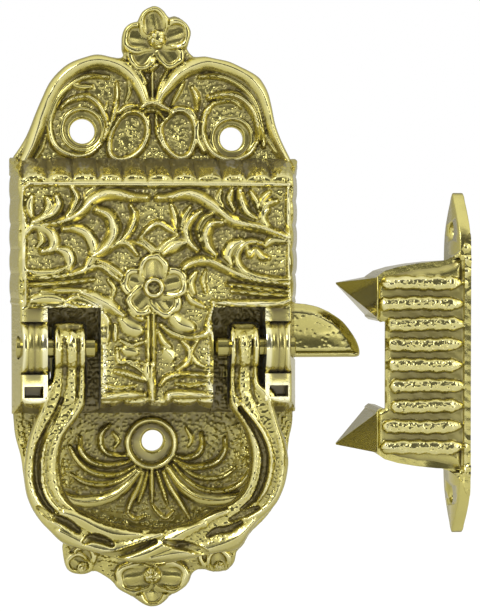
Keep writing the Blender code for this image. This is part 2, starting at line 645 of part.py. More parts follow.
def make_front_casting():
    body = new_collection("casting_body")
    rooms = new_collection("casting_rooms")
    inner = new_collection("casting_posts")
    holes = new_collection("casting_holes")
    casting = make_plate()
    make_case(body)
    make_knuckles(body)
    make_carving(body)
    hollow_case(rooms)
    make_posts(inner)
    drill_posts(holes)
    # The exact solver leaves loose slivers where this many ridges cross
    for operation, tools in (("UNION", body), ("DIFFERENCE", rooms), ("UNION", inner), ("DIFFERENCE", holes)):
        boolean(casting, operation, tools, "MANIFOLD")
    settle(casting)
    keep_skin(casting)
    finish(casting, brass("polished_cast_brass", (0.58, 0.47, 0.16), 0.22))
    return casting


def make_rope(collection):
    """The twisted grip along the foot of the bail: a lobed section that turns as it runs."""
    lobes = 4
    section = bpy.data.curves.new("rope_section", "CURVE")
    section.dimensions = "2D"
    ring = section.splines.new("POLY")
    count = lobes * 4
    ring.points.add(count - 1)
    for index, point in enumerate(ring.points):
        angle = 2 * math.pi * index / count
        reach = 0.84 + 0.16 * abs(math.cos(lobes * angle / 2))
        point.co = (reach * math.cos(angle), reach * math.sin(angle), 0, 1)
    ring.use_cyclic_u = True
    section_object = new_object("rope_section", section, new_collection("bail_guides"))
    half = on_bail(ROPE_LINE)
    whole = half + [(-x, z) for x, z in reversed(half[:-1])]
    depth = (LEG_FRONT + LEG_BACK) / 2
    line = smooth_line([Vector((x, -depth, z)) for x, z in whole])
    curve = bpy.data.curves.new("rope_grip", "CURVE")
    curve.dimensions = "3D"
    curve.twist_mode = "Z_UP"
    curve.bevel_mode = "OBJECT"
    curve.bevel_object = section_object
    curve.use_fill_caps = True
    spline = curve.splines.new("POLY")
    spline.points.add(len(line) - 1)
    for index, (point, spot) in enumerate(zip(spline.points, line)):
        share = index / (len(line) - 1)
        point.co = (*spot, 1)
        point.radius = ROPE_RADIUS * (0.72 + 0.28 * math.sin(math.pi * share) ** 0.5)
        point.tilt = share * math.radians(560)
    made = bpy.data.objects.new("rope_grip", curve)
    bpy.context.scene.collection.objects.link(made)
    return mesh_of(made, collection)


def make_bail():
    joined = new_collection("bail_joined")
    cuts = new_collection("bail_cuts")
    toes = new_collection("bail_toe")
    bail = flat("bail", on_bail(BAIL_SIDE), (LEG_BACK, LEG_FRONT), parts, corners=BAIL_CORNERS, edge=0.0008)
    other = new_object("bail_right_side", bail.data.copy(), joined)
    other.data.transform(Matrix.Diagonal((-1, 1, 1, 1)))
    other.data.flip_normals()
    make_rope(joined)
    for side in (-1, 1):
        rod(f"bail_eye_{side}", axis_point(side * LEG_INNER), axis_point(side * LEG_OUTER), EYE_RADIUS, joined)
        ridge = [Vector((x, -LEG_FRONT + 0.0002, z)) for x, z in on_bail(LEAF_RIDGE, side)]
        stroke(f"leaf_ridge_{side}", ridge, 0.0016, joined)
        channel = [Vector((x, -LEG_FRONT - 0.0001, z)) for x, z in on_bail(LEAF_CHANNEL, side)]
        stroke(f"leaf_channel_{side}", channel, 0.0016, cuts)
        rod(f"eye_bore_{side}", axis_point(side * (LEG_INNER - CUT_MARGIN)),
            axis_point(side * (LEG_OUTER + CUT_MARGIN)), PIN_RADIUS + CLEARANCE, cuts)
    behind = AXIS_DEPTH - cam_rise() + CLEARANCE
    box("lug_room", (-LEG_OUTER - CLEARANCE, -TAIL_INNER + CLEARANCE), (0, behind),
        (AXIS_HEIGHT - 0.0080, AXIS_HEIGHT + 0.0005), cuts)
    flat("toe", cam_outline(), (-TAIL_OUTER, -TAIL_OUTER + CAM_WIDTH), toes, side="side", rounded=False)
    boolean(bail, "UNION", joined)
    boolean(bail, "DIFFERENCE", cuts)
    boolean(bail, "UNION", toes)
    settle(bail)
    move_origin(bail, axis_point(0))
    finish(bail, brass("bail_brass", (0.60, 0.49, 0.17), 0.20))
    return bail


def bolt_outline():
    """The lever from the tail under the toe, round the hub, to the beak."""
    tail_top = AXIS_HEIGHT - CAM_START - CLEARANCE
    hub = [(HUB_RADIUS * math.cos(a), BOLT_AXIS_HEIGHT + HUB_RADIUS * math.sin(a))
           for a in (math.radians(degrees) for degrees in (125, 90, 55))]
    under = [(HUB_RADIUS * math.cos(a), BOLT_AXIS_HEIGHT + HUB_RADIUS * math.sin(a))
             for a in (math.radians(degrees) for degrees in (-50, -90, -130))]
    arm_top = BEAK_FOOT + BEAK_HEIGHT
    return [(-TAIL_OUTER, tail_top), (-0.0120, tail_top), (-0.0060, tail_top + 0.0016), *hub,
            (0.0070, BOLT_AXIS_HEIGHT + 0.0036), (SPRING_ACROSS - 0.0026, SPRING_SEAT),
            (SPRING_ACROSS + 0.0026, SPRING_SEAT), (BEAK_ROOT - 0.0037, arm_top - 0.0014),
            (BEAK_ROOT + 0.0006, arm_top - 0.0002), (BEAK_ROOT + 0.0006, BEAK_FOOT + 0.0001),
            (BEAK_ROOT - 0.0042, BEAK_FOOT), (0.0090, BOLT_AXIS_HEIGHT - 0.0029), *under,
            (-0.0080, tail_top - TAIL_DEPTH), (-TAIL_OUTER, tail_top - TAIL_DEPTH)]


def beak_outline():
    """The head of the bolt: level below, falling in a long curve to its tip."""
    shape = ((0.0, 0.985), (0.24, 0.99), (0.50, 0.92), (0.75, 0.71), (0.88, 0.49), (0.97, 0.26), (1.0, 0.08),
             (0.96, 0.0), (0.0, 0.0))
    return [(BEAK_ROOT + BEAK_LENGTH * x, BEAK_FOOT + BEAK_HEIGHT * z) for x, z in shape]


def make_bolt():
    joined = new_collection("bolt_joined")
    cuts = new_collection("bolt_cuts")
    lever = (BOLT_BACK, BOLT_BACK + BOLT_THICKNESS)
    bolt = flat("bolt", bolt_outline(), lever, parts, rounded=False, edge=0.0002)
    flat("beak", beak_outline(), (BEAK_BACK, BEAK_FRONT), joined, corners=(0, 6, 7, 8), edge=0.0003)
    tail_top = AXIS_HEIGHT - CAM_START - CLEARANCE
    box("tail_lug", (-TAIL_OUTER, -TAIL_INNER), (BOLT_BACK + 0.0002, AXIS_DEPTH - cam_rise()),
        (tail_top - TAIL_DEPTH, tail_top), joined)
    boolean(bolt, "UNION", joined)
    rod("hub_bore", (0, 0, BOLT_AXIS_HEIGHT), (0, -(BOLT_BACK + BOLT_THICKNESS + CUT_MARGIN), BOLT_AXIS_HEIGHT),
        STUD_RADIUS + CLEARANCE, cuts)
    boolean(bolt, "DIFFERENCE", cuts)
    settle(bolt)
    move_origin(bolt, (0, -(BOLT_BACK + BOLT_THICKNESS / 2), BOLT_AXIS_HEIGHT))
    finish(bolt, brass("bolt_brass", (0.56, 0.46, 0.17), 0.24))
    return bolt


def make_stud():
    """The shouldered stud that the bolt turns on, its head behind the bolt."""
    profile = ((0, 0), (STUD_HEAD_RADIUS - 0.0003, 0), (STUD_HEAD_RADIUS, -0.0002),
               (STUD_HEAD_RADIUS, -STUD_HEAD), (STUD_RADIUS, -STUD_HEAD), (STUD_RADIUS, -STUD_LENGTH + 0.0003),
               (0, -STUD_LENGTH))
    place = Matrix.Translation((0, -stud_start(), BOLT_AXIS_HEIGHT)) @ Matrix.Rotation(-math.pi / 2, 4, "X")
    stud = turned("bolt_stud", profile, 28, place, parts)
    finish(stud, brass("steel_stud", (0.55, 0.54, 0.52), 0.35))
    return stud


def make_pins():
    """Short pins with domed ends, put in from the sides through knuckle and eye."""
    outer = PLATE_HALF_WIDTH - CASE_DRAFT + 0.0011
    inner = CENTRE_HALF_WIDTH + CLEARANCE
    length = outer - inner
    profile = ((0, length), (PIN_RADIUS * 0.9, length), (PIN_RADIUS, length - 0.0002), (PIN_RADIUS, PIN_DOME),
               (PIN_RADIUS * 0.8, PIN_DOME * 0.4), (PIN_RADIUS * 0.4, PIN_DOME * 0.08), (0, 0))
    for side, name in ((-1, "left"), (1, "right")):
        place = Matrix.Translation(axis_point(side * inner)) @ Matrix.Rotation(side * math.pi / 2, 4, "Y")
        pin = turned(f"pivot_pin_{name}", profile, 24, place, parts)
        finish(pin, brass(f"pin_brass_{name}", (0.57, 0.47, 0.18), 0.25))


def make_spring():
    """The coil that pushes the bolt down, between its arm and the case's ceiling."""
    low = SPRING_SEAT + CLEARANCE + SPRING_WIRE
    high = CASE_FRONT_TOP - CASE_WALL - CLEARANCE - SPRING_WIRE
    per_turn = 8
    count = SPRING_TURNS * per_turn
    curve = bpy.data.curves.new("bolt_spring", "CURVE")
    curve.dimensions = "3D"
    curve.bevel_depth = SPRING_WIRE
    curve.bevel_resolution = 1
    curve.use_fill_caps = True
    spline = curve.splines.new("POLY")
    spline.points.add(count)
    for index, point in enumerate(spline.points):
        angle = 2 * math.pi * index / per_turn
        share = index / count
        end = min(share, 1 - share, 0.1) / 0.1
        climb = share if end == 1 else (0.10 * end ** 1.6 if share < 0.5 else 1 - 0.10 * end ** 1.6)
        point.co = (SPRING_ACROSS + SPRING_RADIUS * math.cos(angle), SPRING_RADIUS * math.sin(angle) - spring_depth(),
                    low + (high - low) * climb, 1)
    made = bpy.data.objects.new("bolt_spring", curve)
    bpy.context.scene.collection.objects.link(made)
    spring = mesh_of(made, parts)
    spring.name = "bolt_spring"
    finish(spring, brass("spring_steel", (0.45, 0.45, 0.46), 0.35), angle=60)
    return spring


def make_cover():
    """A thin sheet that closes the case, flush with the door face."""
    cuts = new_collection("cover_cuts")
    half = PLATE_HALF_WIDTH - CASE_DRAFT + 0.0008 - CLEARANCE
    cover = box("back_cover", (-half, half), (0, COVER_THICKNESS),
                (CASE_FRONT_FOOT + 0.0008 + CLEARANCE, CASE_FRONT_TOP - CASE_WALL + 0.0010 - CLEARANCE), parts)
    for index, (across, up) in enumerate(cover_posts()):
        rod(f"cover_hole_{index}", (across, 0.001, up), (across, -0.002, up), COVER_SCREW_HEAD + CLEARANCE, cuts)
    boolean(cover, "DIFFERENCE", cuts)
    finish(cover, brass("sheet_brass", (0.55, 0.45, 0.18), 0.35))
    return cover


def make_cover_screws():
    profile = ((0, 0), (COVER_SCREW_HEAD, 0), (COVER_SCREW_HEAD, -0.0002), (COVER_SCREW_RADIUS, -0.0009),
               (COVER_SCREW_RADIUS, -COVER_SCREW_LENGTH + 0.0006), (0, -COVER_SCREW_LENGTH))
    for index, (across, up) in enumerate(cover_posts()):
        place = Matrix.Translation((across, 0, up)) @ Matrix.Rotation(-math.pi / 2, 4, "X")
        screw = turned(f"cover_screw_{index + 1}", profile, 16, place, parts)
        finish(screw, brass(f"screw_steel_{index + 1}", (0.5, 0.49, 0.47), 0.4))


def strike_side():
    """Half of the strike's side view, from its plate to the root of the tooth: across, and up from
    its middle."""
    run = STRIKE_BACK - STRIKE_PLATE / 2 - TOOTH_ROOT
    slope = ((1, 1), (0.68, 0.91), (0.46, 0.78), (0.25, 0.59), (0.10, 0.36), (0, 0))
    hood = [(TOOTH_ROOT + run * x, TOOTH_HEAD + (HOOD_HEIGHT - TOOTH_HEAD) * z) for x, z in slope]
    return [*hood, (TOOTH_ROOT, TOOTH_FOOT), (TOOTH_ROOT + 0.0008, TOOTH_FOOT - 0.0006),
            (STRIKE_BODY, TOOTH_FOOT - 0.0004)]


def make_tooth(name, sign, collection):
    """A point that runs together from the four corners of the hood's mouth."""
    middle = STRIKE_WIDTH / 2
    bm = bmesh.new()
    for depth in (4 * STRIKE_STEP, STRIKE_WIDTH - STRIKE_WALL / 2):
        for reach in (TOOTH_HEAD - STRIKE_STEP, TOOTH_FOOT + STRIKE_STEP):
            bm.verts.new((TOOTH_ROOT + CLEARANCE, -depth, STRIKE_MIDDLE + sign * reach))
    for depth in (middle - TOOTH_BLUNT, middle + TOOTH_BLUNT):
        for reach in (TOOTH_REACH, TOOTH_REACH - TOOTH_BLUNT):
            bm.verts.new((TOOTH_TIP, -depth, STRIKE_MIDDLE + sign * reach))
    bmesh.ops.convex_hull(bm, input=bm.verts)
    bmesh.ops.recalc_face_normals(bm, faces=bm.faces)
    from_bmesh(name, bm, collection)


def make_strike():
    joined = new_collection("strike_joined")
    cuts = new_collection("strike_cuts")
    half = STRIKE_WIDTH / 2
    top = STRIKE_HALF_HEIGHT
    ear = ((0, top), (0.24, top * 0.95), (0.58, top * 0.87), (0.90, top * 0.76), (1, top * 0.64))
    outline = [(half + half * x, STRIKE_MIDDLE + z) for x, z in ear]
    outline += [(half + half * x, STRIKE_MIDDLE - z) for x, z in reversed(ear)]
    outline += [(half - half * x, STRIKE_MIDDLE - z) for x, z in ear[1:]]
    outline += [(half - half * x, STRIKE_MIDDLE + z) for x, z in reversed(ear[1:])]
    strike = flat("strike", outline, (STRIKE_BACK - STRIKE_PLATE, STRIKE_BACK), parts,
                  corners=(4, 5, 13, 14), side="side", edge=0.0003)
    side = strike_side()
    upper = [(x, STRIKE_MIDDLE + z) for x, z in side]
    lower = [(x, STRIKE_MIDDLE - z) for x, z in side]
    flat("strike_wall", upper + lower[::-1], (STRIKE_WIDTH - STRIKE_WALL, STRIKE_WIDTH - STRIKE_STEP), joined,
         rounded=False)
    face = STRIKE_BACK - STRIKE_PLATE / 2
    for name, shape, sign in (("upper", upper, 1), ("lower", lower, -1)):
        pocket = STRIKE_MIDDLE + sign * STRIKE_POCKET_HALF
        block = shape[:-1] + [(STRIKE_POCKET_WALL, shape[-1][1]), (STRIKE_POCKET_WALL, pocket), (face, pocket)]
        flat(f"strike_hood_{name}", block, (STRIKE_STEP, STRIKE_WIDTH - STRIKE_WALL / 2), joined, rounded=False,
             inset=STRIKE_STEP)
        make_tooth(f"strike_tooth_{name}", sign, joined)
        height = STRIKE_MIDDLE + sign * STRIKE_HOLE_OFFSET
        rod(f"strike_hole_{name}", (STRIKE_BACK - STRIKE_PLATE - CUT_MARGIN, -half, height),
            (STRIKE_BACK + CUT_MARGIN, -half, height), STRIKE_HOLE_RADIUS, cuts)
    for index in range(RIB_COUNT):
        height = STRIKE_MIDDLE + (index - (RIB_COUNT - 1) / 2) * RIB_PITCH
        on_hood = abs(height - STRIKE_MIDDLE) > TOOTH_FOOT + RIB_RADIUS
        start = (TOOTH_ROOT + 0.0005) if on_hood else (STRIKE_BODY + 0.0003)
        rod(f"strike_rib_{index}", (start, -STRIKE_WIDTH + RIB_RADIUS * 0.4, height),
            (STRIKE_BACK - 0.0016, -STRIKE_WIDTH + RIB_RADIUS * 0.4, height), RIB_RADIUS, joined, sides=12)
    boolean(strike, "UNION", joined)
    boolean(strike, "DIFFERENCE", cuts)
    settle(strike)
    finish(strike, brass("strike_brass", (0.57, 0.46, 0.16), 0.24))
    return strike


for old in list(bpy.data.objects):
    bpy.data.objects.remove(old)
parts = new_collection("icebox_latch")
make_front_casting()
make_bail()
make_bolt()
make_stud()
make_pins()
make_spring()
make_cover()
make_cover_screws()
make_strike()
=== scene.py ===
import json
import math

import bmesh
import bpy
import numpy as np
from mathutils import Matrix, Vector

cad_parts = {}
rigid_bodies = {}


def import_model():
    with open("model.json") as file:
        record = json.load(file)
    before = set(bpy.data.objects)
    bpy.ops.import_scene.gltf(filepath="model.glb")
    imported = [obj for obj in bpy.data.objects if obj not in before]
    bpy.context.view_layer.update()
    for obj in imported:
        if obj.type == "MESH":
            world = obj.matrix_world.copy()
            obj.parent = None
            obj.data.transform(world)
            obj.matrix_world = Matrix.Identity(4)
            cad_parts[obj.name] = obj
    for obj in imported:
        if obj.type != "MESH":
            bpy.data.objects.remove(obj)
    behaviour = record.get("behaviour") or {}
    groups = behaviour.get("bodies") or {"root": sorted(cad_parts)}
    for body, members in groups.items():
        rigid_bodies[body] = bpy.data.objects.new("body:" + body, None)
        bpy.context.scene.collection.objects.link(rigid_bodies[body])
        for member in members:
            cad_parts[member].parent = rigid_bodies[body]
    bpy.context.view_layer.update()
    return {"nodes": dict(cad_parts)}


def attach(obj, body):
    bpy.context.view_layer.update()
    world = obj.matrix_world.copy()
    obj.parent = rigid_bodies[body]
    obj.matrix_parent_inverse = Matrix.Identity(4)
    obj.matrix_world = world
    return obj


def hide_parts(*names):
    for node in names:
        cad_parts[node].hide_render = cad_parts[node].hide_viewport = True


for leftover in list(bpy.data.objects):
    bpy.data.objects.remove(leftover)
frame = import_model()
nodes = frame["nodes"]
print("frame loaded:", len(nodes), "solids")

mm = 0.001  # shapes are drawn in millimetres: x across, z up, height towards the viewer


def smoothLine(points, perSpan=5, closed=False):
    # a smooth curve through the points, with perSpan steps from each to the next
    points = np.asarray(points, float)
    if closed:
        padded = np.vstack([points[-1:], points, points[:2]])
    else:
        padded = np.vstack([2 * points[0] - points[1], points, 2 * points[-1] - points[-2]])
    line = []
    for before, start, end, after in zip(padded, padded[1:], padded[2:], padded[3:]):
        for t in np.arange(perSpan) / perSpan:
            line.append((start * 2 + (end - before) * t + (before * 2 - start * 5 + end * 4 - after) * t ** 2
                         + (start * 3 - before - end * 3 + after) * t ** 3) / 2)
    if not closed:
        line.append(points[-1])
    return np.array(line)


def tenths(flat):
    # outlines and strokes are written as across, up, across, up, in tenths of a millimetre
    return np.array(flat, float).reshape(-1, 2) / 10


def nearLine(x, z, line, radii):
    # distance to a line as a share of its local radius
    best = np.full(x.shape, 9.0)
    for (ax, az), (bx, bz), ra, rb in zip(line, line[1:], radii, radii[1:]):
        dx, dz = bx - ax, bz - az
        t = np.clip(((x - ax) * dx + (z - az) * dz) / (dx * dx + dz * dz + 1e-12), 0, 1)
        best = np.minimum(best, np.hypot(x - ax - t * dx, z - az - t * dz) / (ra + (rb - ra) * t))
    return best


def carve(x, z, strokes, breadth, rise):
    # raised strokes and cut grooves, as heights over and under the ground; a stroke is its kind, width,
    # height and points, and breadth and rise make the whole set wider and higher
    raised = np.zeros(x.shape)
    sunk = np.zeros(x.shape)
    for kind, width, height, *flat in strokes:
        line = smoothLine(tenths(flat))
        share = np.clip(np.linspace(0, 1, len(line)), 0.04, 0.96)
        radii = breadth * width / 2 * (0.45 + 0.6 * np.sin(math.pi * share) ** 0.5)  # thin ends
        low, high = line.min(0) - width * breadth, line.max(0) + width * breadth
        near = np.nonzero((x > low[0]) & (x < high[0]) & (z > low[1]) & (z < high[1]))[0]
        far = np.clip(nearLine(x[near], z[near], line, radii), 0, 1.3)
        if kind == "round":
            form = 0.45 * np.sqrt(np.clip(1 - far ** 2, 0, 1)) + 0.55 * np.clip(1 - far, 0, 1)
        else:
            form = np.clip(1.0 - far, 0, 1) ** 0.8
        if kind == "cut":
            sunk[near] = np.maximum(sunk[near], height * np.clip(1.25 - far ** 2, 0, 1))
        else:
            raised[near] = np.maximum(raised[near], rise * height * form)
    return raised, sunk


def pebbles(x, z, pitch, seed, share=1.0):
    # rounded grains on a jittered lattice, from 0 to 1; share is how many of its places hold one
    repeat = 97  # places after which the pattern comes again
    jitter = np.random.default_rng(seed).random((repeat, repeat, 4))
    column, row = np.floor(x / pitch).astype(int), np.floor(z / pitch).astype(int)
    best = np.zeros(x.shape)
    for i in (-1, 0, 1):
        for k in (-1, 0, 1):
            spot = jitter[(column + i) % repeat, (row + k) % repeat]
            far = np.hypot(x - (column + i + spot[:, 0]) * pitch, z - (row + k + spot[:, 1]) * pitch)
            grain = 1 - (far / (pitch * (0.30 + 0.30 * spot[:, 2]))) ** 2
            best = np.maximum(best, np.where(spot[:, 3] < share, grain, 0))
    return np.sqrt(np.clip(best, 0, 1))


def unevenness(x, z, scale, seed):
    # a smooth wander, mostly between -1 and 1, of six waves that cross each other
    turn = 6.3
    waves = np.random.default_rng(seed).random((6, 3))
    total = np.zeros(x.shape)
    for angle, phase, pace in waves:
        reach = scale * (0.6 + 0.9 * pace)
        along = x * math.cos(turn * angle) + z * math.sin(turn * angle)
        total += np.sin(along / reach * turn + turn * phase)
    return total / 3.5


def dome(x, z, centre, radius, height):
    far = np.hypot(x - centre[0], z - centre[1]) / radius
    return height * np.clip(1 - far ** 2, 0, 1) ** 0.5


def flower(x, z, height, ground, petals, boss):
    # cupped petals (across, up, radius, height) that spread from a lumpy boss, given the same way, and
    # overlap in the order given
    middleX, middleZ, bossRadius, bossRise = boss
    rimAt = 0.76  # share of a petal's radius at which its rim stands
    for px, pz, radius, rise in petals:
        length = math.hypot(px - middleX, pz - middleZ)
        outX, outZ = (px - middleX) / length, (pz - middleZ) / length
        along = ((x - px) * outX + (z - pz) * outZ) / radius
        across = ((z - pz) * outX - (x - px) * outZ) / radius
        notch = 0.10 * np.exp(-(across / 0.22) ** 2) * (along > 0)
        ruffle = 1 + 0.05 * np.sin(4 * along + 5 * across + px) - notch
        far = np.hypot(along / np.where(along < 0, 1.5, 1.0), across) / ruffle
        rim = np.sqrt(np.clip(1 - ((far - rimAt) / 0.26) ** 2, 0, 1))
        outer = np.clip((along + 1.0) / 1.1, 0, 1)
        bowl = 0.30 + 0.40 * np.clip(along * 0.4 + 0.3, 0, 1) + 0.06 * np.cos(9 * across)
        lip = np.maximum(rim, 0.25) * (0.5 + 0.5 * outer)
        form = rise * np.where(far < rimAt, np.maximum(rim * outer, bowl), lip)
        height = np.where(far < 1.0, ground + form, height)
    centre = dome(x, z, (middleX, middleZ), bossRadius, bossRise)
    return np.maximum(height, ground + centre * (0.75 + 0.35 * pebbles(x, z, 0.5 * bossRadius, 33)))


def ringRidge(x, z, centre, radius, width, height):
    far = np.abs(np.hypot(x - centre[0], z - centre[1]) - radius) / (width / 2)
    return height * np.sqrt(np.clip(1 - far ** 2, 0, 1))


def lobes(along, pitch):
    # a row of half round flutes with sharp cusps between them
    share = (along / pitch + 0.5) % 1.0 * 2 - 1
    return np.sqrt(np.clip(1 - (0.97 * share) ** 2, 0, 1))


def fromEdge(x, z, edge):
    # distance inside a closed outline, and the nearest point on it
    far = np.full(x.shape, 1e9)
    snapX, snapZ = x.copy(), z.copy()
    inside = np.zeros(x.shape, bool)
    for (ax, az), (bx, bz) in zip(edge, np.roll(edge, -1, 0)):
        dx, dz = bx - ax, bz - az
        t = np.clip(((x - ax) * dx + (z - az) * dz) / (dx * dx + dz * dz + 1e-12), 0, 1)
        px, pz = ax + t * dx, az + t * dz
        away = np.hypot(x - px, z - pz)
        closer = away < far
        far = np.where(closer, away, far)
        snapX = np.where(closer, px, snapX)
        snapZ = np.where(closer, pz, snapZ)
        if az != bz:
            inside ^= ((az > z) != (bz > z)) & (x < dx * (z - az) / dz + ax)
    return np.where(inside, far, -far), snapX, snapZ


def softened(values, mask, reach):
    # box blur inside a mask, three times over
    total, weight = np.where(mask, values, 0.0), mask.astype(float)
    for _ in range(3):
        for axis in (0, 1):
            for grid in (total, weight):
                margins = [(reach + 1, reach) if a == axis else (0, 0) for a in (0, 1)]
                padded = np.cumsum(np.pad(grid, margins), axis)
                count = grid.shape[axis]
                ends = np.take(padded, np.arange(count) + 2 * reach + 1, axis)
                grid[...] = (ends - np.take(padded, np.arange(count), axis)) / (2 * reach + 1)
    return total / np.maximum(weight, 1e-6)


# the hollow mask: a spot's depth below its surroundings, which paints shade with the patina into the hollows
# and a highlight on the ridges
hollowMake = {
    "reaches": (0.5, 1.4),  # mm round a spot over which its surroundings are averaged
    "wideShare": 0.6,       # weight of the wider of the two
    "edgeFade": 1.2,        # mm from the outline over which hollows fade out
}


def reliefSolid(name, edge, step, heightOf, backOf, paintedShadeOf=None):
    # a closed solid with a carved front over an outline; backOf is a number, or a height like the front's;
    # the last argument gives painted shade to add to the hollow mask, and is nan where the mask is left out
    low, high = edge.min(0) - step, edge.max(0) + 2 * step
    x, z = np.meshgrid(np.arange(low[0], high[0], step), np.arange(low[1], high[1], step), indexing="ij")
    shape = x.shape
    inside, snapX, snapZ = (part.reshape(shape) for part in fromEdge(x.ravel(), z.ravel(), edge))
    keep = (inside[:-1, :-1] + inside[1:, :-1] + inside[:-1, 1:] + inside[1:, 1:]) / 4 > 0.3 * step
    pinched = True
    while pinched:  # no cells that meet only at a corner
        a, b, c, d = keep[:-1, :-1], keep[1:, 1:], keep[:-1, 1:], keep[1:, :-1]
        one, other = a & b & ~c & ~d, c & d & ~a & ~b
        pinched = bool(one.any() or other.any())
        keep[1:, 1:] &= ~one
        keep[1:, :-1] &= ~other
    around = np.pad(keep, 1)
    corners = np.stack([around[:-1, :-1], around[1:, :-1], around[:-1, 1:], around[1:, 1:]])
    used, whole = corners.any(0), corners.all(0)
    rim = used & ~whole
    x[rim], z[rim] = snapX[rim], snapZ[rim]
    number = np.full(shape, -1)
    number[used] = np.arange(used.sum())
    front = heightOf(x[used], z[used])
    grid = np.zeros(shape)
    grid[used] = front
    # how far each spot lies below its surroundings; hollows get patina and painted shade from this, ridges a
    # painted highlight
    near, wide = (softened(grid, used, max(1, round(reach / step))) - grid for reach in hollowMake["reaches"])
    fade = np.clip(inside / hollowMake["edgeFade"], 0, 1)
    hollow = (np.maximum(near, hollowMake["wideShare"] * wide) * fade)[used]
    # painted shade is added to the mask where given; where it is nan the spot gets no hollow colour at all
    if paintedShadeOf:
        paintedShade = paintedShadeOf(x[used], z[used])
        hollow = np.where(np.isnan(paintedShade), 0, hollow + np.nan_to_num(paintedShade))
    i, k = np.nonzero(keep)
    quads = np.stack([number[i, k], number[i + 1, k], number[i + 1, k + 1], number[i, k + 1]], 1)
    # edges that belong to one cell only make up the rim that the side walls stand on
    directed = np.concatenate([quads[:, [s, (s + 1) % 4]] for s in range(4)])
    known = set(map(tuple, directed))
    following = {a: b for a, b in known if (b, a) not in known}
    loop = [min(following)]
    while following[loop[-1]] != loop[0] and len(loop) <= len(following):
        loop.append(following[loop[-1]])
    points = np.stack([x[used], -front, z[used]], 1)
    count = len(points)
    if callable(backOf):
        behind = points.copy()
        behind[:, 1] = -backOf(x[used], z[used])
        points = np.vstack([points, behind])
        faces = quads.tolist() + (quads[:, ::-1] + count).tolist()
        back = [spot + count for spot in loop]
    else:
        behind = points[loop].copy()
        behind[:, 1] = -backOf
        points = np.vstack([points, behind])
        faces = quads.tolist()
        back = list(range(count, count + len(loop)))
        faces.append(back[::-1])
    for index, start in enumerate(loop):
        after = (index + 1) % len(loop)
        faces.append([loop[after], start, back[index], back[after]])
    mesh = bpy.data.meshes.new(name)
    mesh.from_pydata((points * mm).tolist(), [], faces)
    shade = mesh.attributes.new("hollow", "FLOAT", "POINT")
    values = np.zeros(len(points), np.float32)
    values[:count] = hollow
    shade.data.foreach_set("value", values)
    made = bpy.data.objects.new(name, mesh)
    bpy.context.scene.collection.objects.link(made)
    return made


def block(across, depth, up):
    # a box tool between two values of x, of depth and of z
    mesh = bpy.data.meshes.new("block")
    corners = [(x, -y, z) for x in across for y in depth[::-1] for z in up]
    mesh.from_pydata([[c * mm for c in corner] for corner in corners], [],
                     [(0, 1, 3, 2), (4, 6, 7, 5), (0, 4, 5, 1), (2, 3, 7, 6), (0, 2, 6, 4), (1, 5, 7, 3)])
    return bpy.data.objects.new("block", mesh)


def rod(start, end, radius, endRadius=None):
    # a round or conical tool between two points
    sides = 40
    start, end = Vector(start) * mm, Vector(end) * mm
    turn = (end - start).to_track_quat("Z", "Y").to_matrix()
    points, faces = [], []
    for spot, reach in ((start, radius), (end, radius if endRadius is None else endRadius)):
        for side in range(sides):
            angle = 2 * math.pi * side / sides
            around = Vector((reach * mm * math.cos(angle), reach * mm * math.sin(angle), 0))
            points.append(spot + turn @ around)
    for side in range(sides):
        after = (side + 1) % sides
        faces.append((side, after, sides + after, sides + side))
    faces += [tuple(range(sides))[::-1], tuple(range(sides, 2 * sides))]
    mesh = bpy.data.meshes.new("rod")
    mesh.from_pydata(points, [], faces)
    return bpy.data.objects.new("rod", mesh)


def cutWith(piece, tools):
    # cuts a set of tools out of a piece and keeps the result as its mesh
    folder = bpy.data.collections.new("tools")
    bpy.context.scene.collection.children.link(folder)
    for tool in tools:
        folder.objects.link(tool)
    step = piece.modifiers.new("cut", "BOOLEAN")
    step.operation, step.solver = "DIFFERENCE", "MANIFOLD"
    step.operand_type, step.collection = "COLLECTION", folder
    bpy.context.view_layer.update()
    result = bpy.data.meshes.new_from_object(piece.evaluated_get(bpy.context.evaluated_depsgraph_get()))
    piece.modifiers.clear()
    piece.data = result
    for tool in tools:
        bpy.data.objects.remove(tool)
    bpy.data.collections.remove(folder)


def copyOf(node, name):
    # the mesh of a solid as a new object, welded so that it can be carved further
    mesh = nodes[node].data.copy()
    mesh.transform(nodes[node].matrix_world)
    form = bmesh.new()
    form.from_mesh(mesh)
    bmesh.ops.remove_doubles(form, verts=form.verts, dist=0.000001)
    for edge in form.edges:
        edge.smooth = True
    form.to_mesh(mesh)
    form.free()
    mesh.attributes.new("hollow", "FLOAT", "POINT")
    made = bpy.data.objects.new(name, mesh)
    bpy.context.scene.collection.objects.link(made)
    return made


def smooth(piece, angle):
    piece.data.shade_smooth()
    piece.data.set_sharp_from_angle(angle=math.radians(angle))


def place(piece, body, material, replaced=()):
    piece.data.materials.clear()
    piece.data.materials.append(material)
    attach(piece, body)
    if replaced:
        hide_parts(*replaced)


castFinish = {
    "bright": (0.65, 0.59, 0.20),        # polished high spots
    "worn": (0.53, 0.475, 0.15),         # flats
    "polished": (0.90, 0.86, 0.55),      # painted highlight on the ridges, with their wear
    "tarnishAndShade": (0.19, 0.16, 0.065),      # patina in the hollows, and painted shade there and on the shaded parts
    "hollowDepth": 0.42,                 # mm below its surroundings that is fully dark
    "ridgeHighlightRate": -1.3,                 # how soon a ridge takes the painted highlight, per mm above its surroundings
    "cloudScale": 160,                   # patches of bright and worn
    "grain": 900.0,
    "grainDistance": 0.00012,
    "roughness": 0.12,
    "hollowRoughness": 0.30,             # added where it is dark
    "grainRoughness": 0.08,              # added by the grain
    "specularTint": (0.62, 0.57, 0.27),
    "lacquer": 0.5,
    "lacquerRoughness": 0.12,
    "lacquerTint": (0.96, 0.94, 0.82),
    "dust": 0.06,
    "dustRoughness": 0.5,
}


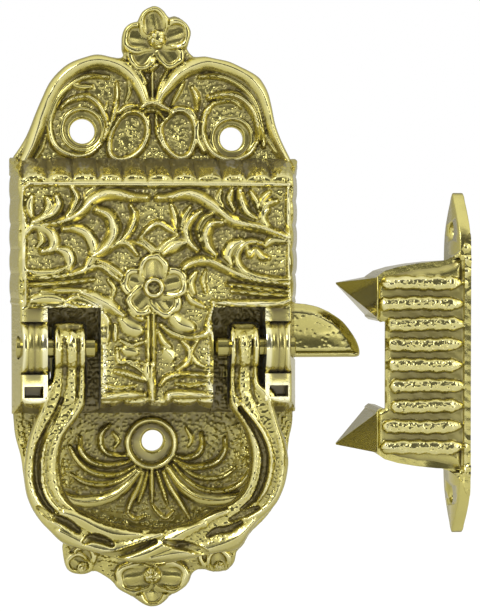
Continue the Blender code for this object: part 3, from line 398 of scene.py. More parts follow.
def tarnishAndShadeGroup():
    # paints shade with the patina into the hollows and dulls them, paints a highlight on the ridges, and
    # breaks up the flats
    f = castFinish
    group = bpy.data.node_groups.new("brass tarnish", "ShaderNodeTree")
    sockets = group.interface
    for label, key in (("Bright", "bright"), ("Worn", "worn"), ("Polished", "polished"),
                       ("TarnishAndShade", "tarnishAndShade")):
        sockets.new_socket(label, in_out="INPUT", socket_type="NodeSocketColor").default_value = (*f[key], 1)
    for label, key in (("Hollow Depth", "hollowDepth"), ("Roughness", "roughness"), ("Grain", "grain")):
        sockets.new_socket(label, in_out="INPUT", socket_type="NodeSocketFloat").default_value = f[key]
    for label, kind in (("Color", "NodeSocketColor"), ("Roughness", "NodeSocketFloat"),
                        ("Height", "NodeSocketFloat")):
        sockets.new_socket(label, in_out="OUTPUT", socket_type=kind)
    tree, link = group.nodes, group.links.new
    given, result = tree.new("NodeGroupInput"), tree.new("NodeGroupOutput")
    where = tree.new("ShaderNodeTexCoord")
    hollow = tree.new("ShaderNodeAttribute")
    hollow.attribute_name = "hollow"

    def noise(detail):
        made = tree.new("ShaderNodeTexNoise")
        made.inputs["Detail"].default_value = detail
        link(where.outputs["Object"], made.inputs["Vector"])
        return made

    def maths(operation, *values, clamp=False):
        made = tree.new("ShaderNodeMath")
        made.operation, made.use_clamp = operation, clamp
        for socket, value in zip(made.inputs, values):
            if isinstance(value, bpy.types.NodeSocket):
                link(value, socket)
            else:
                socket.default_value = value
        return made.outputs[0]

    def blend(amount, first, second):
        made = tree.new("ShaderNodeMix")
        made.data_type = "RGBA"
        for label, value in (("Factor", amount), ("A", first), ("B", second)):
            link(value, made.inputs[label])
        return made.outputs["Result"]

    cloud, grain = noise(3), noise(4)
    cloud.inputs["Scale"].default_value = f["cloudScale"]
    link(given.outputs["Grain"], grain.inputs["Scale"])
    dark = maths("DIVIDE", hollow.outputs["Fac"], given.outputs["Hollow Depth"], clamp=True)
    # painted highlight where the mask is below zero, on the ridges
    ridge = maths("MULTIPLY", hollow.outputs["Fac"], f["ridgeHighlightRate"], clamp=True)
    flats = blend(cloud.outputs["Fac"], given.outputs["Bright"], given.outputs["Worn"])
    # painted shade with patina where the mask is above zero, in the hollows
    shadedAndTarnished = blend(dark, flats, given.outputs["TarnishAndShade"])
    link(blend(ridge, shadedAndTarnished, given.outputs["Polished"]), result.inputs["Color"])
    dull = maths("MULTIPLY_ADD", dark, f["hollowRoughness"], given.outputs["Roughness"])
    uneven = maths("MULTIPLY_ADD", grain.outputs["Fac"], f["grainRoughness"], dull)
    link(uneven, result.inputs["Roughness"])
    link(grain.outputs["Fac"], result.inputs["Height"])
    return group


tarnishAndShade = tarnishAndShadeGroup()


def brass(name, bump=0.35, **changes):
    f = castFinish
    material = bpy.data.materials.new(name)
    material.use_nodes = True
    tree = material.node_tree
    shader = tree.nodes["Principled BSDF"]
    for label, value in (("Metallic", 1.0), ("Specular Tint", (*f["specularTint"], 1)),
                         ("Coat Weight", f["lacquer"]), ("Coat Roughness", f["lacquerRoughness"]),
                         ("Coat Tint", (*f["lacquerTint"], 1)),
                         ("Sheen Weight", f["dust"]), ("Sheen Roughness", f["dustRoughness"])):
        shader.inputs[label].default_value = value
    effect = tree.nodes.new("ShaderNodeGroup")
    effect.node_tree = tarnishAndShade
    for label, value in changes.items():
        effect.inputs[label].default_value = value
    relief = tree.nodes.new("ShaderNodeBump")
    relief.inputs["Strength"].default_value = bump
    relief.inputs["Distance"].default_value = f["grainDistance"]
    tree.links.new(effect.outputs["Color"], shader.inputs["Base Color"])
    tree.links.new(effect.outputs["Roughness"], shader.inputs["Roughness"])
    tree.links.new(effect.outputs["Height"], relief.inputs["Height"])
    tree.links.new(relief.outputs["Normal"], shader.inputs["Normal"])
    return material


castBrass = brass("cast brass")
bailBrass = brass("bail brass", Roughness=0.11)
boltBrass = brass("bolt brass", bump=0.2, Roughness=0.16, Grain=500.0, Bright=(0.56, 0.51, 0.18, 1))
pinBrass = brass("pin brass", bump=0.2, Roughness=0.2, Bright=(0.50, 0.45, 0.15, 1),
                 Worn=(0.40, 0.35, 0.11, 1))
strikeBrass = brass("strike brass", bump=0.5, Roughness=0.14)
sheetBrass = brass("sheet brass", bump=0.15, Roughness=0.3)
steel = brass("zinc steel", bump=0.3, Roughness=0.32, Bright=(0.55, 0.55, 0.54, 1),
              Worn=(0.44, 0.44, 0.44, 1), Polished=(0.7, 0.7, 0.69, 1))
print("finishes made")

plateMake = {
    "step": 0.19, "ground": 2.5, "edgeRound": 0.7,
    "pebble": 0.62, "pebbleHeight": 0.26, "pebbleShare": 0.65,
    "seat": 2.35,                         # height of the seats round the screw holes
    "sinkTop": 3.6, "sinkFoot": 1.6,      # between which heights the countersinks taper
    "sinkFlare": 1.4, "sinkTaper": 0.3,   # wider than the hole above, narrower below
    # painted shade inside the bail, a painted shadow close below the case, and an even darkening of the crest
    "shadeInsideBail": 0.11, "shadowUnderCase": 0.20, "dullCrest": 0.04,
}
holes = {"left": (-13.4, 33.3, 2.35), "right": (14.9, 32.0, 2.25), "bottom": (-0.2, -25.3, 2.05)}

crestEdge = (
    -271, 249, -270, 268, -264, 283, -253, 299, -240, 321, -232, 339, -221, 367, -209, 395, -196, 422,
    -179, 443, -158, 460, -130, 471, -105, 477, -78, 472, -63, 471, -56, 477, -59, 488, -59, 504, -58,
    515, -54, 526, -44, 535, -31, 540, -29, 542, -21, 557, -6, 567, 5, 568, 18, 562, 28, 549, 41, 551,
    56, 544, 66, 532, 71, 519, 66, 498, 65, 488, 77, 475, 98, 475, 117, 471, 142, 466, 165, 456, 184,
    447, 197, 439, 206, 430, 218, 407, 225, 378, 231, 348, 241, 321, 248, 306, 261, 280, 266, 257, 269,
    242)
lowerEdge = (
    267, -176, 265, -223, 259, -252, 254, -299, 248, -337, 241, -360, 227, -385, 214, -402, 199, -417,
    184, -432, 170, -455, 159, -466, 155, -483, 148, -495, 136, -502, 117, -504, 98, -500, 83, -500, 73,
    -508, 66, -525, 51, -536, 32, -548, 13, -563, -1, -567, -14, -565, -29, -557, -48, -544, -67, -533,
    -82, -517, -105, -502, -116, -500, -130, -504, -143, -504, -158, -499, -168, -487, -173, -457, -173,
    -443, -196, -423, -213, -404, -228, -383, -238, -360, -243, -337, -247, -309, -251, -280, -261,
    -242, -264, -214, -266, -185, -267, -176)
crestStrokes = (
    ("round", 2.2, 1.25, -243, 274, -228, 304, -217, 336, -207, 368, -194, 400, -177, 427, -154, 448,
     -128, 461, -101, 465, -75, 460, -52, 448, -35, 431, -24, 412, -16, 391),
    ("round", 2.2, 1.25, 256, 275, 241, 304, 228, 336, 218, 374, 207, 404, 186, 431, 160, 448, 129,
     459, 99, 463, 73, 455, 50, 442, 31, 423, 18, 406, 10, 391),
    ("round", 1.1, 0.8, -86, 434, -109, 436, -132, 433, -154, 421, -175, 400, -189, 374, -196, 346,
     -192, 319, -181, 300, -162, 289, -139, 285, -117, 292, -100, 308),
    ("sharp", 1.1, 0.9, -173, 376, -162, 387, -145, 395, -124, 397, -107, 387, -96, 372, -88, 347, -94,
     317),
    ("sharp", 1, 0.8, -69, 423, -69, 395, -73, 370, -81, 344, -92, 321),
    ("sharp", 0.8, 0.5, -48, 431, -45, 408, -52, 387),
    ("round", 1, 0.9, -64, 357, -47, 368, -28, 368, -14, 353, -11, 330, -20, 304, -37, 287, -60, 279,
     -79, 285, -84, 304, -79, 330, -64, 357),
    ("round", 1, 0.9, 25, 357, 41, 370, 61, 370, 75, 355, 80, 332, 76, 306, 65, 287, 46, 283, 27, 298,
     16, 321, 14, 342, 25, 357),
    ("sharp", 0.8, 0.8, -9, 361, -12, 328, -24, 296),
    ("sharp", 0.8, 0.8, 5, 363, 8, 328, 20, 300),
    ("round", 1.5, 1.3, -22, 378, -11, 385, 5, 385, 27, 374),
    ("sharp", 0.8, 0.9, -24, 363, -11, 372, 8, 370, 20, 357),
    ("sharp", 0.9, 0.9, -30, 446, -18, 419, -9, 391),
    ("sharp", 0.9, 0.9, 27, 450, 14, 419, 5, 391),
    ("round", 0.6, 1, -2, 444, -2, 389),
    ("sharp", 1.1, 0.9, -62, 463, -41, 455, -26, 442, -14, 423),
    ("round", 1.1, 1.2, -24, 457, -9, 450, 6, 457),
    ("round", 1.1, 1.1, 16, 463, 35, 457, 58, 461),
    ("round", 1, 0.7, -66, 368, -50, 378, -31, 381),
    ("sharp", 1, 0.8, 29, 370, 48, 376, 69, 372, 80, 359),
    ("sharp", 1.1, 0.9, 73, 416, 82, 397, 82, 374),
    ("sharp", 0.8, 0.6, 58, 427, 46, 404, 35, 383),
    ("round", 1.3, 0.9, 84, 351, 82, 321, 95, 296),
    ("round", 1.1, 0.9, 114, 387, 99, 370, 94, 347, 95, 323, 105, 300, 122, 285, 145, 279, 167, 283,
     184, 294, 196, 313),
    ("sharp", 1.5, 1.1, 105, 397, 126, 402, 150, 402, 173, 391, 190, 370, 198, 344, 198, 319),
    ("sharp", 0.8, 0.6, 103, 366, 112, 383, 131, 391, 152, 391, 167, 378),
    ("round", 1.1, 0.8, 88, 436, 114, 438, 141, 433, 169, 417, 190, 393, 201, 364, 207, 334, 209, 306),
    ("sharp", 0.8, 0.5, -226, 274, -211, 298, -202, 325),
    ("sharp", 0.8, 0.5, 245, 279, 226, 304, 213, 328),
    ("round", 1, 0.6, -158, 423, -139, 416, -117, 416),
    ("sharp", 0.8, 0.5, -86, 387, -92, 363, -86, 336),
)
lowerStrokes = (
    ("sharp", 1, 0.9, -50, -279, -83, -277, -98, -264, -101, -247, -96, -232, -84, -222),
    ("sharp", 1.1, 1, -48, -291, -83, -298, -109, -294, -128, -283, -139, -266, -139, -245),
    ("sharp", 1, 0.8, -37, -300, -67, -315, -101, -315, -128, -304, -147, -285, -158, -262),
    ("sharp", 1, 0.7, -33, -306, -64, -327, -96, -334, -130, -330, -156, -315),
    ("round", 1.7, 0.9, -28, -310, -54, -338, -83, -357, -117, -366, -147, -364, -170, -353),
    ("sharp", 1, 0.9, -20, -311, -31, -342, -45, -370, -50, -389),
    ("round", 0.8, 0.9, -4, -304, -4, -336, -4, -368),
    ("sharp", 0.8, 0.7, -12, -311, -20, -342, -30, -370),
    ("sharp", 0.8, 0.7, 6, -311, 16, -342, 25, -370),
    ("sharp", 0.8, 0.8, -50, -389, -35, -400, -16, -395),
    ("sharp", 0.8, 0.8, -3, -374, 8, -389, 23, -399, 37, -387),
    ("sharp", 1, 0.9, 35, -279, 61, -285, 82, -279, 92, -262, 90, -239),
    ("sharp", 1.1, 1, 39, -289, 69, -302, 99, -300, 122, -291, 135, -270, 135, -249),
    ("sharp", 1, 0.8, 37, -298, 58, -323, 84, -342, 111, -349, 141, -347, 165, -334, 183, -311),
    ("sharp", 0.8, 0.6, 46, -296, 73, -317, 103, -325, 133, -321, 156, -304),
    ("round", 1.7, 0.9, 27, -304, 50, -336, 82, -359, 122, -366, 164, -359),
    ("sharp", 1.1, 1, 18, -311, 31, -340, 50, -370, 67, -399),
    ("sharp", 0.8, 0.5, -77, -236, -67, -251, -75, -264),
    ("sharp", 0.8, 0.5, 61, -228, 71, -247, 65, -264),
)

# each flower is its petals and then its boss, as across, up, radius and height
crestFlowers = (
    (((-2.3, 47.2, 2.7, 1.1), (3.3, 47.5, 2.6, 1.0), (4.3, 51.6, 3.1, 1.3), (-3.2, 50.9, 3.2, 1.2),
      (-0.1, 54.1, 3.0, 1.4)), (0.6, 50.6, 1.9, 2.0)),
)
lowerFlowers = (
    (((-0.2, -54.2, 3.2, 1.2), (3.5, -51.2, 3.4, 1.3), (-4.2, -51.3, 3.4, 1.2)), (-0.3, -50.8, 1.8, 1.8)),
    (((-13.2, -47.0, 2.4, 1.0), (-14.6, -48.2, 2.3, 1.2)), (-13.6, -49.0, 1.1, 1.6)),
    (((10.6, -47.2, 2.4, 1.0), (12.2, -48.0, 2.5, 1.2)), (12.4, -49.2, 1.1, 1.6)),
)
# the seats of the screws: across, up and radius, then the radius, width and height of the ring round each
crestDishes = ((-13.4, 33.6, 3.6, 3.9, 1.0, 0.7), (14.9, 32.0, 3.6, 3.9, 1.0, 0.7))
lowerDishes = ((-0.5, -25.7, 3.6, 4.5, 1.3, 1.25),)


def plateHeight(strokes, flowers, dishes, edge):
    def heightAt(x, z):
        p = plateMake
        raised, sunk = carve(x, z, strokes, 1.5, 1.2)
        grain = pebbles(x, z, p["pebble"], 4, p["pebbleShare"])
        height = np.maximum(p["ground"] + p["pebbleHeight"] * grain, p["ground"] + raised * 1.05 + 0.05)
        for petals, boss in flowers:
            height = flower(x, z, height, p["ground"], petals, boss)
        for dishX, dishZ, seat, ring, width, rise in dishes:
            height = np.where(np.hypot(x - dishX, z - dishZ) < seat, p["seat"], height)
            ridge = ringRidge(x, z, (dishX, dishZ), ring, width, rise)
            height = np.maximum(height, p["ground"] - 0.2 + ridge)
        height = height + 0.05 * unevenness(x, z, 3.0, 7)
        away = np.clip(fromEdge(x, z, edge)[0] / p["edgeRound"], 0, 1)
        return height - p["edgeRound"] * (1 - np.sqrt(1 - (1 - away) ** 2)) - sunk
    return heightAt


def plateShadeAndTone(x, z):
    # painted shade inside the bail and a painted shadow close below the case; the crest is a little darker
    # all over
    p = plateMake
    middle = p["shadeInsideBail"] * np.clip((20 - np.abs(x)) / 4, 0, 1) * np.clip((z + 47) / 4, 0, 1)
    underCase = p["shadowUnderCase"] * np.clip((z + 25) / 4, 0, 1)
    return np.where(z < 0, middle + underCase, p["dullCrest"])


def holeTools(names):
    # a drill and a countersink for each screw hole
    p = plateMake
    tools = []
    for name in names:
        x, z, radius = holes[name]
        tools.append(rod((x, 1, z), (x, -9, z), radius))
        tools.append(rod((x, -p["sinkTop"], z), (x, -p["sinkFoot"], z),
                         radius + p["sinkFlare"], radius - p["sinkTaper"]))
    return tools


for name, outline, strokes, flowers, dishes, screws in (
        ("crest_plate", crestEdge, crestStrokes, crestFlowers, crestDishes, ("left", "right")),
        ("lower_plate", lowerEdge, lowerStrokes, lowerFlowers, lowerDishes, ("bottom",))):
    line = smoothLine(tenths(outline), 4)
    carved = plateHeight(strokes, flowers, dishes, line)
    plate = reliefSolid(name, line, plateMake["step"], carved, 0.0, plateShadeAndTone)
    cutWith(plate, holeTools(screws))
    smooth(plate, 60)
    place(plate, "case", castBrass)
    print(name, "carved:", len(plate.data.polygons), "faces")

caseMake = {
    "step": 0.195, "depth": 14.0, "ground": 13.0, "back": 0.04, "halfFront": 24.8, "halfBase": 27.1,
    "top": 23.6, "foot": -16.8, "panelFoot": 0.2, "centreHalf": 10.4, "pocketHalf": 20.0,
    "pocketFloor": 6.0, "sillFloor": 5.4, "pebble": 0.62,
    "flute": 4.58, "fluteShift": 0.6,                                # above and below the panel
    "sideFlute": 4.55, "sideFluteShift": 22.4, "sideFluteRise": 0.35,  # on the flanks
    "axisHeight": -7.1, "axisDepth": 10.7, "knuckle": 5.1, "pinHole": 2.2,
    # painted shade on the bands above and below the panel, in the pockets and on the knuckles
    "shadeOnBands": 0.27, "shadeInPockets": 0.25, "shadeOnKnuckles": 0.28,
    "plainFrom": 24.6,                                               # the flanks beyond are plain
}

panelStrokes = (
    ("sharp", 0.8, 0.75, -238, 227, -245, 218, -246, 183, -241, 157, -243, 118, -243, 81, -240, 50,
     -240, 11),
    ("sharp", 0.9, 0.8, -234, 230, -124, 230, -13, 230, 116, 230, 245, 230),
    ("sharp", 0.8, 0.75, 243, 223, 243, 173, 245, 118, 245, 72, 247, 22),
    ("sharp", 1.5, 1.25, -208, 155, -179, 160, -151, 171, -133, 186, -120, 199, -105, 208, -87, 212,
     -65, 210, -46, 206, -20, 205),
    ("sharp", 1.5, 1.25, 2, 205, 24, 206, 46, 211, 61, 212, 79, 206, 98, 195, 116, 181, 134, 166, 162,
     157, 193, 151, 217, 142, 243, 131),
    ("round", 1.3, 1.1, -184, 206, -181, 192, -190, 177, -206, 168, -227, 160),
    ("round", 1.1, 0.9, -201, 203, -195, 190, -205, 177),
    ("round", 1.1, 0.8, -229, 206, -234, 190, -229, 171),
    ("sharp", 1.1, 0.9, -155, 223, -147, 203, -155, 183, -171, 166),
    ("sharp", 0.8, 0.5, -114, 223, -127, 214, -136, 195),
    ("round", 1.3, 1, -238, 142, -227, 153, -210, 151, -195, 142, -188, 125, -194, 111, -210, 107),
    ("sharp", 1, 0.7, -216, 142, -210, 127, -219, 114),
    ("round", 1.3, 0.9, -182, 111, -166, 105, -159, 90, -162, 74),
    ("round", 1.3, 1, -171, 148, -149, 149, -129, 140, -118, 122, -116, 101, -125, 83, -136, 70),
    ("sharp", 1.7, 1.3, -111, 183, -92, 175, -81, 159, -79, 138, -88, 120, -103, 107, -118, 98),
    ("sharp", 1.1, 1, -48, 190, -41, 173, -48, 149, -63, 129, -83, 114),
    ("round", 1, 0.8, -238, 72, -216, 66, -188, 68, -168, 76),
    ("sharp", 1, 0.9, -31, 131, -15, 149, 2, 159, 20, 149, 37, 138),
    ("sharp", 1, 0.8, -28, 131, -13, 116, 2, 107, 18, 122, 39, 136),
    ("sharp", 1.5, 1.1, 55, 124, 33, 118, 11, 103),
    ("sharp", 1, 0.9, -114, 94, -90, 111, -68, 122, -53, 120, -37, 101),
    ("sharp", 1, 0.9, -114, 92, -90, 81, -66, 63, -57, 50),
    ("sharp", 0.8, 0.8, -55, 124, -31, 122, -13, 109, -4, 94),
    ("sharp", 1.3, 1.1, 81, 181, 63, 166, 53, 146, 59, 124, 74, 109),
    ("sharp", 1.5, 1.2, 120, 160, 99, 157, 90, 138, 94, 116, 107, 100),
    ("sharp", 1, 0.8, 103, 177, 85, 166, 76, 146, 79, 127),
    ("sharp", 1, 0.8, 61, 188, 50, 170, 44, 148),
    ("sharp", 1, 0.8, 26, 192, 33, 170, 35, 148),
    ("round", 1.5, 1.1, 155, 125, 138, 114, 131, 98, 136, 83),
    ("round", 1.1, 1, 195, 122, 175, 125, 158, 118, 147, 101, 151, 79, 168, 65, 193, 57, 219, 55, 245, 55),
    ("sharp", 1.1, 0.8, 166, 116, 171, 101, 182, 109, 195, 96, 206, 94),
    ("round", 1.1, 0.9, 201, 118, 214, 129, 245, 125),
    ("round", 1.1, 0.9, 205, 184, 195, 170, 206, 149, 234, 136),
    ("sharp", 1.3, 1, 153, 219, 157, 197, 168, 177, 184, 166),
    ("sharp", 1, 0.8, 173, 216, 184, 199, 188, 181),
    ("sharp", 1.1, 0.9, 138, 219, 134, 201, 142, 183),
    ("sharp", 1, 0.7, 118, 219, 114, 203, 122, 190),
    ("sharp", 1.1, 0.9, 221, 199, 203, 194, 193, 177),
    ("sharp", 1, 0.8, 208, 216, 197, 205, 193, 192),
    ("sharp", 1.1, 1, -240, 57, -197, 59, -151, 66, -120, 79, -101, 79, -85, 66, -66, 52),
    ("sharp", 0.9, 0.8, -236, 46, -179, 48, -116, 55),
    ("sharp", 0.9, 0.8, -212, 33, -175, 35, -131, 35),
    ("sharp", 1.3, 1.2, 50, 42, 46, 65, 55, 81, 76, 89, 98, 89, 125, 77, 158, 61, 193, 52, 243, 46),
    ("sharp", 0.8, 0.8, 127, 46, 186, 39, 243, 33),
    ("sharp", 0.8, 0.7, 138, 33, 193, 28, 243, 24),
    ("round", 1, 0.9, 103, 13, 171, 9, 227, 11, 247, 17),
    ("sharp", 1, 0.8, -168, 15, -153, 22, -135, 20, -109, 7),
    ("sharp", 0.8, 0.7, -168, 11, -142, 2, -111, 4),
    ("sharp", 0.8, 0.7, -236, 0, -197, 4, -168, 6),
    ("round", 1.3, 0.7, -230, 17, -201, 22, -175, 17),
    ("sharp", 1.6, 1.1, -138, 31, -111, 20, -87, 7, -63, -11),
    ("sharp", 1, 0.8, 53, 35, 63, 17, 87, 4),
    ("round", 1, 0.7, 72, 68, 61, 50, 68, 30),
    ("sharp", 0.8, 0.6, 90, 72, 85, 54, 90, 31),
    ("sharp", 0.8, 0.6, -90, 54, -79, 39, -83, 20),
    ("round", 1.3, 0.9, -50, 11, -41, -5, -28, -17),
)
centreStrokes = (
    ("round", 0.7, 0.8, -17, 17, -17, -48, -17, -105),
    ("round", 0.7, 0.8, -6, 17, -6, -48, -6, -105),
    ("round", 1, 1, -10, -101, -10, -134, -9, -169),
    ("sharp", 0.9, 0.9, -107, 6, -107, -57, -107, -133),
    ("sharp", 0.9, 0.9, 105, 9, 96, -20, 94, -40, 103, -52, 103, -133),
    ("sharp", 0.8, 0.7, -100, -5, -90, -24, -92, -63),
    ("sharp", 0.8, 0.8, -77, -28, -77, -57),
    ("round", 1.7, 0.8, -65, -20, -48, -35, -31, -39),
    ("sharp", 0.8, 0.7, -68, -57, -46, -66, -22, -59),
    ("sharp", 0.8, 0.7, -74, -72, -70, -96, -50, -96, -20, -101),
    ("round", 1.3, 0.6, -61, -75, -39, -79),
    ("sharp", 0.9, 0.9, -77, -114, -53, -120, -20, -131),
    ("sharp", 0.8, 0.7, -53, -99, -37, -107, -22, -120),
    ("round", 1.3, 1, -18, -103, -18, -127),
    ("round", 1, 1, -105, -162, -61, -158, -24, -157),
    ("sharp", 0.8, 0.6, -98, -140, -72, -146, -42, -142),
    ("sharp", 1, 0.9, 7, -29, 28, -44, 53, -52, 85, -48, 99, -33),
    ("round", 1.7, 0.8, 29, -13, 42, -28, 64, -35),
    ("sharp", 1, 0.8, 2, -40, 11, -59, 24, -70),
    ("sharp", 1, 1, 46, -59, 59, -74, 57, -96, 37, -112),
    ("sharp", 0.8, 0.7, 74, -59, 64, -79, 72, -98, 88, -107),
    ("round", 1.3, 0.6, 15, -75, 28, -90),
    ("sharp", 0.9, 0.9, 5, -140, 17, -127, 44, -120, 94, -123),
    ("round", 1, 1, 20, -166, 24, -157, 61, -157, 101, -160),
    ("sharp", 0.8, 0.6, 35, -138, 61, -142, 90, -138),
)

rosettePetals = ((-3.9, 4.9, 2.9, 1.0), (-3.0, 1.4, 2.8, 1.1), (1.6, 1.2, 2.9, 1.15), (2.9, 4.8, 3.0, 1.2),
                 (-0.7, 7.6, 2.9, 1.2))
rosetteBoss = (-0.6, 4.0, 1.3, 0.6)


def sideFlutes(z):
    # the flutes of the flanks, beside the panel only
    return lobes(z - caseMake["sideFluteShift"], caseMake["sideFlute"]) * (z > 1)


def caseHeight(x, z):
    c = caseMake
    side, up = np.abs(x), z - c["axisHeight"]
    # the walls slope down from the face, fluted above, below and beside it
    flutes = lobes(x - c["fluteShift"], c["flute"])
    shell = flutes * np.sqrt(np.clip(1 - ((z - 25.9) / 2.4) ** 2, 0, 1))
    top = c["depth"] - (z - c["top"] - 0.5 * flutes + 0.3) * 2.5 + 1.5 * shell
    flank = c["depth"] - (side - c["halfFront"] - c["sideFluteRise"] * sideFlutes(z)) * 4.7
    foot = c["depth"] - (c["foot"] - z - 0.7 * flutes + 0.4) * 3.5
    wall = np.minimum(np.minimum(top, flank), foot)
    # the face with its leaves, stippled ground and rosette
    raised, sunk = carve(x, z, panelStrokes + centreStrokes, 2.0, 1.5)
    grain = pebbles(x, z, c["pebble"], 9, 0.7)
    face = np.maximum(c["ground"] + 0.27 * grain, c["ground"] - 0.1 + raised)
    face = face + 0.06 * unevenness(x, z, 3.0, 5)
    face = flower(x, z, face, c["ground"], rosettePetals, rosetteBoss)
    face = np.maximum(face, c["ground"] + ringRidge(x, z, rosetteBoss[:2], 1.5, 1.1, 1.6))
    # the pockets on both sides of the centre, with a lower sill at their foot
    low = z < c["panelFoot"]
    beside = low & (side > c["centreHalf"])
    face = np.where(beside & (side < c["pocketHalf"]), c["pocketFloor"] + 0.2 * grain, face)
    face = np.where(beside & (side < 22.4) & (z < -13.0), c["sillFloor"] + 0.2 * grain, face)
    # the ringed knuckles round the axis, with a block above and below each
    groove = 0.25 * (1 - lobes(side - c["pocketHalf"] - 0.6, 1.2))
    barrel = c["axisDepth"] + np.sqrt(np.clip((c["knuckle"] - groove) ** 2 - up ** 2, 0, None))
    notch = (z < -14.3) & (z > -16.2) & (side > 21.0) & (side < 24.2)
    knuckle = np.where(np.abs(up) < c["knuckle"] - 0.3, barrel, np.where(notch, 9.0, 13.2))
    face = np.where(low & (side >= c["pocketHalf"]), knuckle, face)
    # soft where face and wall meet, and rough on the walls
    softEdge = np.clip(wall - face, 0, 1.0)
    rough = np.where(wall < face - 0.6, (0.10 + 0.25 * ((z > 24) | (z < -17))) * grain, 0)
    return np.maximum(np.minimum(wall, face) - 0.25 * (1 - softEdge) ** 2, 1.4) - sunk + rough


def caseShade(x, z):
    # painted shade on the bands above and below the panel, on the floors of the pockets and on the knuckles
    c = caseMake
    side, low = np.abs(x), z < c["panelFoot"]
    above, below = np.clip((z - c["top"]) / 0.8, 0, 1), np.clip((-17.0 - z) / 0.8, 0, 1)
    pocket = low & (side > c["centreHalf"]) & (side < c["pocketHalf"])
    knuckle = low & (z > -17) & (side > c["pocketHalf"]) & (side < 24.9)
    paintedShade = c["shadeOnBands"] * np.maximum(above, below) + c["shadeInPockets"] * pocket
    return np.where(side > c["plainFrom"], np.nan, paintedShade + c["shadeOnKnuckles"] * knuckle)


def caseEdge():
    # the foot of the case's walls, with the side flutes
    heights = np.arange(28.2, -20.3, -0.6)
    rise = caseMake["sideFluteRise"]
    reach = caseMake["halfBase"] - rise + rise * sideFlutes(heights)
    right = np.stack([reach, heights], 1)
    return np.vstack([right, right[::-1] * (-1, 1)])


def pinHoles(outer, inner):
    # a drill for each hinge pin, from outer to inner mm beside the middle
    depth, height = -caseMake["axisDepth"], caseMake["axisHeight"]
    return [rod((side * outer, depth, height), (side * inner, depth, height), caseMake["pinHole"])
            for side in (-1, 1)]


roomFront = 4.9  # how far the room behind the face reaches forward
caseRooms = (    # across, forward, up
    ((-25.0, 25.0), (-1, roomFront), (-15.2, 21.8)),        # the room of the mechanism
    ((-25.6, 25.6), (-1, 0.9), (-16.0, 22.8)),              # the rebate of the back cover
    ((-23.0, 23.0), (roomFront - 1, 12.2), (2.2, 21.7)),    # the hollow behind the panel
    ((-8.4, 8.4), (roomFront - 1, 12.2), (-14.9, 2.3)),     # and the one behind the centre
    ((21.3, 30.0), (-1, 6.5), (-9.85, 6.45)),               # the bolt's way out through the flank
    ((-19.6, -15.6), (roomFront - 1, 7.0), (-15.2, -3.5)),  # the slot of the bail's toe
)
caseShell = reliefSolid("case_shell", caseEdge(), caseMake["step"], caseHeight, caseMake["back"], caseShade)
cutWith(caseShell, [block(*room) for room in caseRooms] + pinHoles(30, 10.5))
smooth(caseShell, 60)
place(caseShell, "case", castBrass, ["front_casting"])
print("case_shell carved:", len(caseShell.data.polygons), "faces")

bailMake = {
    "step": 0.2,
    "middle": 10.85,    # height of the middle of its thickness
    "thickness": 2.05,  # from there to the front and to the back
    "edge": 1.3,        # how far in from the outline it is rounded
    "eye": 4.3,         # radius of the eyes
    "backReach": 4.2,   # how far behind the middle an eye may reach
}

bailEdge = (
    -193, -38, -191, -27, -182, -23, -137, -23, -130, -29, -128, -40, -128, -105, -128, -166, -134,
    -185, -145, -203, -160, -222, -171, -240, -176, -263, -178, -285, -176, -309, -171, -333, -160,
    -354, -145, -367, -126, -376, -95, -391, -48, -402, -2, -406, 35, -400, 72, -389, 104, -372, 128,
    -365, 145, -354, 160, -335, 169, -315, 173, -290, 173, -266, 169, -244, 162, -224, 149, -203, 136,
    -185, 132, -166, 132, -105, 132, -40, 134, -30, 141, -25, 184, -25, 191, -29, 193, -40, 193, -125,
    202, -140, 215, -147, 225, -162, 221, -177, 225, -198, 232, -222, 240, -244, 245, -266, 247, -290,
    243, -318, 236, -341, 225, -363, 210, -380, 193, -394, 176, -415, 160, -439, 147, -450, 110, -456,
    82, -461, 54, -467, 26, -471, -11, -472, -48, -471, -76, -463, -113, -452, -145, -443, -175, -432,
    -197, -411, -214, -393, -228, -372, -238, -350, -243, -328, -245, -300, -241, -266, -236, -238,
    -227, -211, -219, -188, -214, -173, -215, -157, -212, -144, -201, -134, -193, -121)
